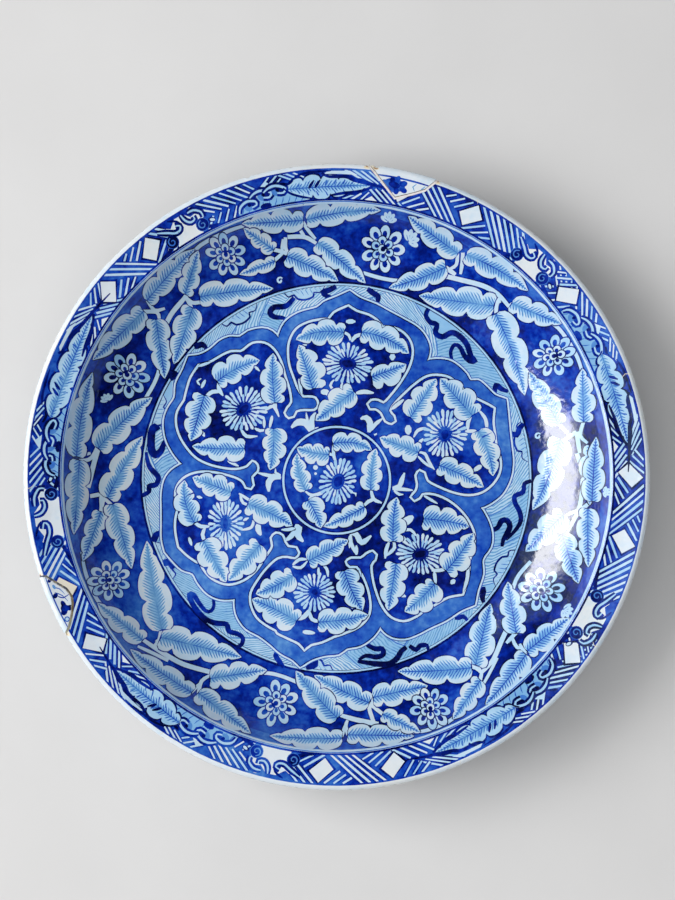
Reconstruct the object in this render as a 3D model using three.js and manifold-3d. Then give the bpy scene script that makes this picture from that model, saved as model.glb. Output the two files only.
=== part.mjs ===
// A large shallow ceramic dish with a foot ring, whose rim was broken in two places and mended.
// Each loss is closed by a glued-in rim piece, with a bed of adhesive along the break.
// Millimetres, +Z up, origin at the centre of the foot ring's resting face.
import * as THREE from "three";
import { mergeVertices } from "three/addons/utils/BufferGeometryUtils.js";
import Module from "manifold-3d";

// --- Driving dimensions -------------------------------------------------------------------
const TURN_STEPS = 72; // facets round the dish

const FLOOR_TOP_Z = 16;
const FLOOR_THICKNESS = 8.5;
const FLOOR_RADIUS = 128; // where the flat floor starts to curve up
const WALL_THICKNESS = 7;
const RIM_INNER_RADIUS = 197; // the crest between wall and rim
const RIM_INNER_Z = 56;
const CREST_ROUNDING = 2.4;

const LIP_RADIUS = 225; // the dish's outer radius
const LIP_BEAD = 3.3; // radius of the rounded lip
const LIP_TOP_Z = 64;

const FOOT_OUTER_RADIUS = 130;
const FOOT_INNER_RADIUS = 118.5;
const FOOT_FACE = [121.4, 127.4]; // the flat ring that the dish stands on
const FOOT_BEVEL_Z = 1.8;

const GLUE_GAP = 1.4; // from break to break
const GLUE_CLEARANCE = 0.3; // between the adhesive and each broken face

const degrees = (angle) => (angle * Math.PI) / 180;
const polar = (angle, radius) =>
  new THREE.Vector2(radius * Math.cos(degrees(angle)), radius * Math.sin(degrees(angle)));

// The breaks, seen from above: degrees anticlockwise from +X and millimetres from the dish's axis.
const UPPER_BREAK = [
  [70.5, 225.5],
  [71.0, 221.4],
  [72.2, 214.9],
  [74.0, 210.8],
  [77.6, 204.4],
  [79.8, 211.0],
  [82.0, 218.8],
  [83.8, 225.5],
];
const LEFT_BREAK = [
  [198.2, 225.5],
  [198.6, 220.0],
  [200.2, 215.4],
  [202.2, 209.9],
  [203.9, 208.6],
  [205.3, 209.9],
  [206.9, 213.3],
  [208.4, 217.6],
  [209.3, 221.0],
  [209.9, 225.5],
];
// How far each glued piece sits out from the dish and up from its rim.
const UPPER_SEAT = { outwards: 0.6, upwards: 0.5 };
const LEFT_SEAT = { outwards: 0.45, upwards: 0.3 };
// Small losses on the lip: degrees, how deep they bite and how wide they are.
const LIP_NICKS = [
  { angle: 106, depth: 0.8, width: 4 },
  { angle: 181.6, depth: 0.7, width: 3.4 },
  { angle: 44.5, depth: 0.6, width: 7 },
];
const FRAGMENT_NICK = { angle: 82.1, depth: 1.2, width: 4.4 };

// --- Profile ------------------------------------------------------------------------------
// Points on an arc. The angle is 0 straight down from the centre and grows outwards.
function arc(centreR, centreZ, radius, from, to, steps) {
  return Array.from({ length: steps + 1 }, (_, i) => {
    const a = degrees(from + ((to - from) * i) / steps);
    return new THREE.Vector2(centreR + radius * Math.sin(a), centreZ - radius * Math.cos(a));
  });
}

// The wall's inner arc leaves the floor level and meets the rim's crest.
const wallRun = RIM_INNER_RADIUS - FLOOR_RADIUS;
const wallRise = RIM_INNER_Z - FLOOR_TOP_Z;
const wallSweep = (2 * Math.atan2(wallRise, wallRun) * 180) / Math.PI;
const wallRadius = wallRun / Math.sin(degrees(wallSweep));
const wallCentreZ = FLOOR_TOP_Z + wallRadius;
const lipCentreR = LIP_RADIUS - LIP_BEAD;
const lipCentreZ = LIP_TOP_Z - LIP_BEAD;

function dishProfile() {
  const point = (r, z) => new THREE.Vector2(r, z);
  const floorUnderZ = FLOOR_TOP_Z - FLOOR_THICKNESS;
  const outerWall = arc(FLOOR_RADIUS, wallCentreZ, wallRadius + WALL_THICKNESS, 2, wallSweep - 4, 7);
  const lip = arc(lipCentreR, lipCentreZ, LIP_BEAD, 20, 188, 7);
  const crest = arc(
    RIM_INNER_RADIUS + CREST_ROUNDING,
    RIM_INNER_Z - 0.4,
    CREST_ROUNDING,
    180,
    180 + wallSweep,
    3,
  );
  const innerWall = arc(FLOOR_RADIUS, wallCentreZ, wallRadius, 0, wallSweep - 4, 7).reverse();
  return [
    point(0, floorUnderZ),
    point(60, floorUnderZ - 0.3),
    point(FOOT_INNER_RADIUS - 3, floorUnderZ - 0.6),
    point(FOOT_INNER_RADIUS, floorUnderZ - 2.2),
    point(FOOT_FACE[0] - 1.2, FOOT_BEVEL_Z),
    point(FOOT_FACE[0], 0),
    point(FOOT_FACE[1], 0),
    point(FOOT_FACE[1] + 1.4, FOOT_BEVEL_Z),
    point(FOOT_OUTER_RADIUS, floorUnderZ - 1.2),
    ...outerWall,
    point(RIM_INNER_RADIUS + 9, RIM_INNER_Z - 2.9),
    point(lipCentreR - 4, LIP_TOP_Z - 7.6),
    ...lip,
    point(lipCentreR - 5, LIP_TOP_Z - 1.5),
    point(RIM_INNER_RADIUS + 10, RIM_INNER_Z + 3.3),
    ...crest,
    ...innerWall,
    point(60, FLOOR_TOP_Z - 0.3),
    point(0, FLOOR_TOP_Z - 0.5),
  ];
}

// --- Solids -------------------------------------------------------------------------------
const wasm = await Module();
wasm.setup();

function solidOf(geometry) {
  const bare = geometry.clone();
  bare.deleteAttribute("normal");
  bare.deleteAttribute("uv");
  const merged = mergeVertices(bare, 1e-4);
  const vertProperties = merged.attributes.position.array;
  const triVerts = new Uint32Array(merged.index.array);
  return new wasm.Manifold(new wasm.Mesh({ numProp: 3, vertProperties, triVerts }));
}

function geometryOf(solid) {
  const mesh = solid.getMesh();
  const geometry = new THREE.BufferGeometry();
  geometry.setAttribute("position", new THREE.BufferAttribute(mesh.vertProperties, 3));
  geometry.setIndex(new THREE.BufferAttribute(mesh.triVerts, 1));
  geometry.computeVertexNormals();
  return geometry;
}

function turnedSolid(profile) {
  const turned = new THREE.LatheGeometry(profile, TURN_STEPS);
  turned.rotateX(Math.PI / 2);
  return solidOf(turned);
}

// A line of points moved sideways, to its left if the distance is positive.
function offsetLine(points, distance) {
  return points.map((p, i) => {
    const before = points[Math.max(0, i - 1)];
    const after = points[Math.min(points.length - 1, i + 1)];
    const along = after.clone().sub(before).normalize();
    return new THREE.Vector2(p.x - along.y * distance, p.y + along.x * distance);
  });
}

// The block of space that a rim piece is cut from. It runs well past the lip, above and below,
// and its inner side follows the break, moved into the dish by the margin.
function breakBlock(breakLine, margin) {
  const inner = offsetLine(breakLine.map(([angle, radius]) => polar(angle, radius)), margin);
  const beyond = (p) => p.clone().multiplyScalar(1.06);
  const outline = [beyond(inner[0]), ...inner, beyond(inner[inner.length - 1])];
  const low = 40;
  const high = 80;
  const block = new THREE.ExtrudeGeometry(new THREE.Shape(outline), {
    depth: high - low,
    bevelEnabled: false,
  });
  block.translate(0, 0, low);
  return solidOf(block);
}

// A flattened ball at the lip, to be taken away.
function lipNick({ angle, depth, width }, seat = 0) {
  const ball = new THREE.IcosahedronGeometry(1, 1);
  ball.scale(depth, width / 2, depth * 1.6);
  ball.rotateZ(degrees(angle));
  const at = polar(angle, LIP_RADIUS + seat + depth * 0.1);
  ball.translate(at.x, at.y, lipCentreZ + 1.2);
  return solidOf(ball);
}

// --- The dish and its mends ---------------------------------------------------------------
const GLAZED = { roughness: 0.12, metalness: 0 };
const materials = {
  dish: new THREE.MeshStandardMaterial({ color: 0x3c5fb4, ...GLAZED }),
  fragment: new THREE.MeshStandardMaterial({ color: 0xc9d3dc, ...GLAZED }),
  paleGlue: new THREE.MeshStandardMaterial({ color: 0xd8cdb4, roughness: 0.6, metalness: 0 }),
  brownGlue: new THREE.MeshStandardMaterial({ color: 0x6d5a3c, roughness: 0.6, metalness: 0 }),
};

const dish = new THREE.Group();

function addPart(name, solid, material) {
  const mesh = new THREE.Mesh(geometryOf(solid), material);
  mesh.name = name;
  dish.add(mesh);
}

const wholeDish = turnedSolid(dishProfile());

function dishBody() {
  let body = wholeDish;
  for (const line of [UPPER_BREAK, LEFT_BREAK]) {
    body = body.subtract(breakBlock(line, GLUE_GAP / 2));
  }
  for (const nick of LIP_NICKS) {
    body = body.subtract(lipNick(nick));
  }
  return body;
}

// A piece of the same rim, cut to the break and set a little out and up.
function rimFragment(line, seat) {
  const middle = (line[0][0] + line[line.length - 1][0]) / 2;
  const shift = polar(middle, seat.outwards);
  const moved = wholeDish.translate([shift.x, shift.y, seat.upwards]);
  return moved.intersect(breakBlock(line, -GLUE_GAP / 2));
}

function adhesiveBed(line) {
  const half = GLUE_GAP / 2 - GLUE_CLEARANCE;
  const bed = breakBlock(line, half).subtract(breakBlock(line, -half));
  return wholeDish.intersect(bed);
}

addPart("dish_body", dishBody(), materials.dish);
addPart(
  "upper_rim_fragment",
  rimFragment(UPPER_BREAK, UPPER_SEAT).subtract(lipNick(FRAGMENT_NICK, UPPER_SEAT.outwards)),
  materials.fragment,
);
addPart("left_rim_fragment", rimFragment(LEFT_BREAK, LEFT_SEAT), materials.fragment);
addPart("upper_adhesive_bed", adhesiveBed(UPPER_BREAK), materials.paleGlue);
addPart("left_adhesive_bed", adhesiveBed(LEFT_BREAK), materials.brownGlue);

export default dish;
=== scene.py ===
"""The looks of a large glazed dish whose rim was broken and mended with two glued-in pieces.

The dish is painted in blues on white. All of its decoration is drawn here as flat shapes in plan,
in millimetres seen from above: leaves, daisies, ringed rosettes, scrolls, bars and bands. Later
shapes lie over earlier ones. One triangulation turns the drawing into the dish's own upper surface,
so every leaf edge is an edge of the mesh, and each corner carries the strength of its blue.
"""

import math
import random

import bpy
import numpy as np
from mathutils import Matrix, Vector
from mathutils.geometry import delaunay_2d_cdt


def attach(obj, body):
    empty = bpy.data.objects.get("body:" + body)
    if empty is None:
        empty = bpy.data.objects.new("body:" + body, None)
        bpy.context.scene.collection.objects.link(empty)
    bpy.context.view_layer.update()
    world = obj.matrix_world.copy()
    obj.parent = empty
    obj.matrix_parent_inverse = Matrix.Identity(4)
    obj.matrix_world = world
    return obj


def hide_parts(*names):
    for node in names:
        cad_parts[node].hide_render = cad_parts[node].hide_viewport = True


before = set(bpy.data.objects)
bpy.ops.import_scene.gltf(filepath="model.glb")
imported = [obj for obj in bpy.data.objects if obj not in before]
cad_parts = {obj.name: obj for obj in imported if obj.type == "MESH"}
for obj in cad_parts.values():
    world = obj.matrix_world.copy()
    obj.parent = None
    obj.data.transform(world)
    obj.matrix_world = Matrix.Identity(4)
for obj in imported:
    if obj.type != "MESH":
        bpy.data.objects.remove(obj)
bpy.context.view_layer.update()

MM = 0.001
chance = random.Random(7)

# --- Sizes, in millimetres, as the CAD part has them ----------------------------------------
LIP = 225.0
LIP_BEAD = 3.3
LIP_TOP_Z = 64.0
FLOOR_RADIUS = 128.0
FLOOR_Z = 16.0
WALL = 7.0
CREST_RADIUS = 197.0
CREST_Z = 56.0
CREST_ROUNDING = 2.4
FOOT = (118.5, 130.0)
FOOT_FACE = (121.4, 127.4)
FOOT_BEVEL_Z = 1.8
UNDERSIDE_Z = 7.5
GLUE_GAP = 1.4

# The breaks, seen from above: degrees anticlockwise from +X and millimetres from the axis.
UPPER_BREAK = [(70.5, 225.5), (71.0, 221.4), (72.2, 214.9), (74.0, 210.8), (77.6, 204.4), (79.8, 211.0),
               (82.0, 218.8), (83.8, 225.5)]
LEFT_BREAK = [(198.2, 225.5), (198.6, 220.0), (200.2, 215.4), (202.2, 209.9), (203.9, 208.6),
              (205.3, 209.9), (206.9, 213.3), (208.4, 217.6), (209.3, 221.0), (209.9, 225.5)]
# How far each glued piece sits out from the dish and up from its rim.
UPPER_SEAT = (0.6, 0.5)
LEFT_SEAT = (0.45, 0.3)

# --- Drawing kit ----------------------------------------------------------------------------
# How strong the blue is, from bare glaze to the darkest outline.
BARE = 0.0
MILK = 0.06
PALE = 0.16
WASH = 0.3
SKY = 0.5
BAR = 0.66
COBALT = 0.74
DEEP = 0.86
NAVY = 0.95

COARSE = 9  # millimetres between the points of a plain line
CUSPED_SPACING = 3.1  # and of a cusped outline
ROUGHLY = 0.6  # cosine of the widest turn in a stretch that is filled as one
TAPER_IN, TAPER_OUT = 0.25, 0.35  # shares of a stroke over which the brush lands and lifts


def polar(degrees, radius):
    """A point by its angle from +X and its distance from the dish's axis."""
    angle = math.radians(degrees)
    return (radius * math.cos(angle), radius * math.sin(angle))


def offset(point, degrees, distance):
    """The point that lies a distance away in one direction."""
    dx, dy = polar(degrees, distance)
    return (point[0] + dx, point[1] + dy)


def ellipse(centre, long, short, turn=0.0, steps=16):
    """The outline of an ellipse, anticlockwise."""
    cos, sin = math.cos(math.radians(turn)), math.sin(math.radians(turn))
    outline = []
    for k in range(steps):
        angle = math.tau * k / steps
        x, y = long * math.cos(angle), short * math.sin(angle)
        outline.append((centre[0] + x * cos - y * sin, centre[1] + x * sin + y * cos))
    return outline


def smooth(points, spacing, closed=False):
    """A flowing curve through the points."""
    count = len(points)
    curve = []
    for i in range(count if closed else count - 1):
        here, there = points[i], points[(i + 1) % count]
        before = points[i - 1] if closed or i > 0 else here
        after = points[(i + 2) % count] if closed or i + 2 < count else there
        steps = max(1, round(math.dist(here, there) / spacing))
        for k in range(steps):
            t = k / steps
            curve.append(tuple(
                0.5 * (2 * b + (c - a) * t + (2 * a - 5 * b + 4 * c - d) * t**2
                       + (3 * (b - c) + d - a) * t**3)
                for a, b, c, d in zip(before, here, there, after)
            ))
    return curve if closed else curve + [points[-1]]


def joined(pieces):
    """One closed outline from smooth stretches, each of which runs on to a cusp where the next begins."""
    outline = []
    for piece, following in zip(pieces, pieces[1:] + pieces[:1]):
        outline += smooth(piece + following[:1], CUSPED_SPACING)[:-1]
    return outline


def sideways(line, closed=False):
    """The unit vector to the left of a line at each of its points."""
    count = len(line)
    result = []
    for i in range(count):
        before = line[i - 1] if closed or i > 0 else line[i]
        after = line[(i + 1) % count] if closed or i + 1 < count else line[i]
        dx, dy = after[0] - before[0], after[1] - before[1]
        size = math.hypot(dx, dy) or 1.0
        result.append((-dy / size, dx / size))
    return result


def runs_on(run):
    """Whether both edges of a stretch keep roughly to the way that the whole stretch goes."""
    ahead = [sum(run[-1][side][axis] - run[0][side][axis] for side in (0, 1)) for axis in (0, 1)]
    for here, there in zip(run, run[1:]):
        for a, b in zip(here, there):
            step = (b[0] - a[0], b[1] - a[1])
            if step[0] * ahead[0] + step[1] * ahead[1] < ROUGHLY * math.hypot(*step) * math.hypot(*ahead):
                return False
    return True


class Drawing:
    """Shapes in plan, each with its paint: (blue, veins, green, stain, along, across, edge)."""

    def __init__(self, ground):
        self.ground = ground
        self.shapes = []

    def fill(self, outline, blue, green=0.0, stain=0.0):
        paint = (blue, 0.0, green, stain, 0.0, 0.0, 0.0)
        self.shapes.append((outline, [paint] * len(outline)))

    def patch(self, corners, paints):
        """A four-sided patch whose paint runs from corner to corner."""
        self.shapes.append((corners[:3], paints[:3]))
        self.shapes.append(([corners[0], corners[2], corners[3]], [paints[0], paints[2], paints[3]]))

    def stroke(self, points, width, blue, ends=(0.45, 0.3), spacing=2.3, closed=False, green=0.0,
               stain=0.0):
        """One pull of the brush. It is narrower at its two ends."""
        line = smooth(points, spacing, closed)
        count = len(line)
        edges = []
        for i, ((x, y), (u, v)) in enumerate(zip(line, sideways(line, closed))):
            press = 1.0
            if not closed:
                s = i / (count - 1)
                start = ends[0] + (1 - ends[0]) * min(1.0, s / TAPER_IN)
                stop = ends[1] + (1 - ends[1]) * min(1.0, (1 - s) / TAPER_OUT)
                press = min(1.0, start, stop)
            half = 0.5 * width * press
            edges.append(((x + u * half, y + v * half), (x - u * half, y - v * half)))
        self.band(edges + edges[:1] if closed else edges, blue, green, stain)

    def band(self, edges, blue, green=0.0, stain=0.0):
        """Fills between two edges, three steps at a time where the band runs straight enough."""
        first = 0
        while first < len(edges) - 1:
            run = edges[first:first + 4]
            if not runs_on(run):
                run = run[:2]
            outline = [left for left, _ in run] + [right for _, right in run[::-1]]
            self.fill(outline, blue, green, stain)
            first += len(run) - 1

    def ring(self, radius, width, blue, centre=(0.0, 0.0), steps=90):
        """A band painted while the dish turned."""
        inner, outer = radius - width / 2, radius + width / 2
        turns = [360 * k / steps for k in range(steps + 1)]
        self.band([(offset(centre, a, inner), offset(centre, a, outer)) for a in turns], blue)

    def circle(self, radius, blue, green=0.0, stain=0.0):
        """A disc round the dish's axis."""
        self.fill([polar(3 * k, radius) for k in range(120)], blue, green, stain)


# --- Motifs -----------------------------------------------------------------------------------
LONG_LEAF = 42  # millimetres
FULLEST = 0.3  # share of a leaf's length at which it is widest
SWEEP_BACK = 0.34  # how far a leaf's lobes lean towards its tip, for each millimetre of their reach


def lobed(s, lobes, phase, foot):
    """The width of a leaf at a share of its length: round lobes with sharp notches between them."""
    t = (s * lobes + phase) % 1.0
    depth = 0.48 - 0.14 * s
    scallop = 1 - depth + depth * math.sqrt(max(0.0, 1 - (2 * t - 1) ** 2))
    if s < FULLEST:
        body = foot + (1 - foot) * math.sqrt(math.sin(s / FULLEST * math.pi / 2))
    else:
        body = 1 - 0.98 * ((s - FULLEST) / 0.7) ** 2
    return body * scallop


def leaf(art, base, tip, wide, bend=0.0, lobes=3, skew=0.0, green=0.6, outline=0.8, foot=0.5,
         ground=0.045):
    """A broad lobed leaf with feathered veins and a dark outline.

    The bend is how far its middle bows to the left, the skew makes its left half the wider, and the
    foot is how wide it starts. The ground is the blue under its veins.
    """
    dx, dy = tip[0] - base[0], tip[1] - base[1]
    length = math.hypot(dx, dy)
    ux, uy = dx / length, dy / length
    steps = 2 * lobes * (5 if length > LONG_LEAF else 4)
    rows = []
    for i in range(steps + 1):
        s = i / steps
        lift = bend * 4 * s * (1 - s)
        spot = (base[0] + ux * length * s - uy * lift, base[1] + uy * length * s + ux * lift)
        left = wide * (1 + skew) * lobed(s, lobes, 0.0, foot)
        right = wide * (1 - skew) * lobed(s, lobes, 0.5, foot)
        swept = SWEEP_BACK * s - 0.5 * foot * (1 - s) ** 3
        rows.append((s * length, spot, max(left, 0.15), max(right, 0.15), swept))
    spine = sideways([row[1] for row in rows])
    fade = {side: chance.uniform(0.95, 1.45) for side in (1, -1)}

    def at(i, side, part, extra=0.0):
        along, spot, left, right, swept = rows[i]
        reach = side * ((left if side > 0 else right) * part + extra)
        u, v = spine[i]
        shift = swept * abs(reach)
        place = (spot[0] + u * reach + v * shift, spot[1] + v * reach - u * shift)
        return place, (ground, 1.0, green, 0.0, along + shift, abs(reach), part * fade[side])

    edge = [at(i, 1, 1, outline)[0] for i in range(steps + 1)]
    edge += [at(i, -1, 1, outline)[0] for i in range(steps, -1, -1)]
    art.fill(edge, DEEP)
    for side in (1, -1):
        for i in range(steps):
            quad = [at(i, side, 0), at(i + 1, side, 0), at(i + 1, side, 1), at(i, side, 1)]
            art.patch([q[0] for q in quad], [q[1] for q in quad])


def daisy(art, centre, wide, high, turn, eye, eye_turn, petals):
    """A many-petalled flower: two rows of narrow petals and a ring of stamens round a dark eye."""
    cos, sin = math.cos(math.radians(turn)), math.sin(math.radians(turn))

    def place(degrees, reach, aside=0.0):
        angle = math.radians(degrees)
        x = wide * reach * math.cos(angle) - aside * math.sin(angle)
        y = high * reach * math.sin(angle) + aside * math.cos(angle)
        return (centre[0] + x * cos - y * sin, centre[1] + x * sin + y * cos)

    mean = (wide + high) / 2
    art.fill([place(a, 0.96) for a in range(0, 360, 12)], COBALT)
    for count, start, stop, fullness in ((petals + 4, 0.6, 1.05, 0.74), (petals - 2, 0.36, 0.74, 0.68)):
        for k in range(count):
            degrees = 360 * (k + 0.5 * (stop < 0.9)) / count + chance.uniform(-2, 2)
            end = stop * chance.uniform(0.94, 1.05)
            half = math.pi * mean * (start + end) / 2 / count * fullness
            middle = 0.5 * (start + end)
            art.fill([
                place(degrees, start, -half * 0.3), place(degrees, middle, -half * 0.85),
                place(degrees, end - 0.08, -half), place(degrees, end, -half * 0.35),
                place(degrees, end, half * 0.35), place(degrees, end - 0.08, half),
                place(degrees, middle, half * 0.85), place(degrees, start, half * 0.3),
            ], chance.uniform(0.03, 0.15))
    for k in range(11):
        degrees = 360 * k / 11 + chance.uniform(-5, 5)
        art.stroke([place(degrees, 0.3), place(degrees, 0.44)], 1.1, PALE, spacing=4)
    art.fill(ellipse(centre, eye[0] + 0.5, eye[1] + 0.5, eye_turn, 18), COBALT)
    art.fill(ellipse(centre, eye[0] * 0.72, eye[1] * 0.72, eye_turn, 14), DEEP)


def rosette(art, centre, radius, turn):
    """An open flower: two rows of petals, each with a blue drop, round a curled heart."""
    for count, lag, reach, size, slim in ((9, 0.0, 0.74, 0.32, 0.72), (6, 0.3, 0.36, 0.19, 0.95)):
        for k in range(count):
            degrees = turn + 360 * (k + lag) / count + chance.uniform(-4, 4)
            middle = offset(centre, degrees, radius * reach * chance.uniform(0.94, 1.04))
            long, short = radius * size, radius * size * slim * chance.uniform(0.9, 1.08)
            art.fill(ellipse(middle, long + 0.8, short + 0.8, degrees, 14), DEEP)
            art.fill(ellipse(middle, long, short, degrees, 14), chance.uniform(0.04, 0.14))
            drop = offset(middle, degrees, -long * 0.24)
            art.fill(ellipse(drop, long * 0.54, short * 0.5, degrees, 10), COBALT)
    art.fill(ellipse(centre, radius * 0.24, radius * 0.24), DEEP)
    hook = [offset(centre, turn + a, radius * 0.16) for a in range(0, 320, 40)]
    art.stroke(hook, radius * 0.12, MILK)


def curl(art, centre, radius, start, width, blue):
    """A scrolled brush stroke that winds in once, anticlockwise."""
    turns = [k / 9 for k in range(10)]
    points = [offset(centre, start + 360 * turn, radius * (1 - 0.7 * turn)) for turn in turns]
    art.stroke(points, width, blue, ends=(0.6, 0.9), spacing=1.3)


# --- Where everything is drawn ------------------------------------------------------------
# Medallion places are in millimetres from the dish's axis. The others are (degrees, millimetres).
# A leaf's base, tip and half width, then its bend, lobes and skew unless they are 0, 3 and 0.
MEDALLION_LEAVES = [
    # roundel
    ((-6, 17), (-29, 22), 8, 1, 3, 0.1),
    ((-2, 25), (26, 20), 7.5, 3),
    ((25, -9), (29, 21), 8, 1),
    ((20, -22), (-10, -36), 7, 1),
    ((-21, -17), (-12, -37), 8, 1, 2, 0.1),
    ((-23, -9), (-29, 18), 7, 2, 3, -0.1),
    # top lobe
    ((6, 107), (-29, 102), 9.5, -3, 3, 0.1),
    ((20, 107), (54, 91), 10, 3),
    ((-17, 66), (-27, 98), 10, 0, 3, -0.3),
    ((27, 74), (52, 83), 9, 0, 2, -0.3),
    ((13, 63), (-15, 42), 9.5, 0, 3, -0.1),
    # upper right lobe
    ((55, 44), (74, 72), 10),
    ((100, 45), (77, 72), 11, 0, 3, -0.1),
    ((60, 18), (32, 29), 9, 0, 3, 0.05),
    ((105, 33), (115, 0), 9, 2),
    ((76, 8), (108, -8), 9, 1),
    # lower right lobe
    ((64, -31), (97, -37), 10.5, 1),
    ((80, -69), (100, -42), 10.5, -1),
    ((41, -47), (44, -15), 9.5, 1),
    ((43, -64), (37, -98), 10),
    ((71, -79), (49, -99), 10, 1, 3, 0.15),
    # bottom lobe
    ((5, -69), (18, -98), 9.5, -1),
    ((-14, -106), (22, -101), 9.5, -1),
    ((-31, -105), (-63, -89), 11, -1, 3, 0.05),
    ((-33, -72), (-60, -85), 9.5, 1),
    ((-21, -61), (8, -46), 8.5),
    # lower left lobe
    ((-78, -10), (-106, 1), 9),
    ((-105, -32), (-112, -1), 9, 3),
    ((-98, -46), (-82, -76), 10.5),
    ((-57, -49), (-80, -75), 10),
    ((-65, -19), (-33, -35), 10, 1),
    # upper left lobe
    ((-87, 72), (-56, 87), 10, 2, 3, 0.1),
    ((-97, 61), (-107, 28), 10.5),
    ((-68, 22), (-106, 24), 9.5, 1),
    ((-45, 56), (-46, 92), 9.5, 1),
    ((-46, 36), (-49, 6), 9, 1, 3, 0.1),
]
# A daisy's centre, half sizes, turn, the eye's half sizes and turn, and how many petals.
DAISIES = [
    ((1, -3), (13, 16.5), -18, (4.2, 5.8), -25, 20),
    ((9, 84), (17.5, 14.5), -10, (6.2, 3.7), -12, 22),
    ((80, 31), (15.5, 17), 0, (3.8, 5), -10, 22),
    ((61, -57), (16.5, 14.5), 0, (6, 3.4), 18, 22),
    ((-17, -84), (14.5, 13.5), 0, (3.2, 3), 0, 20),
    ((-82, -33), (12.5, 18), 0, (2.6, 5.6), 0, 20),
    ((-68, 51), (17, 15.5), 30, (6, 3.4), 42, 22),
]
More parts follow.
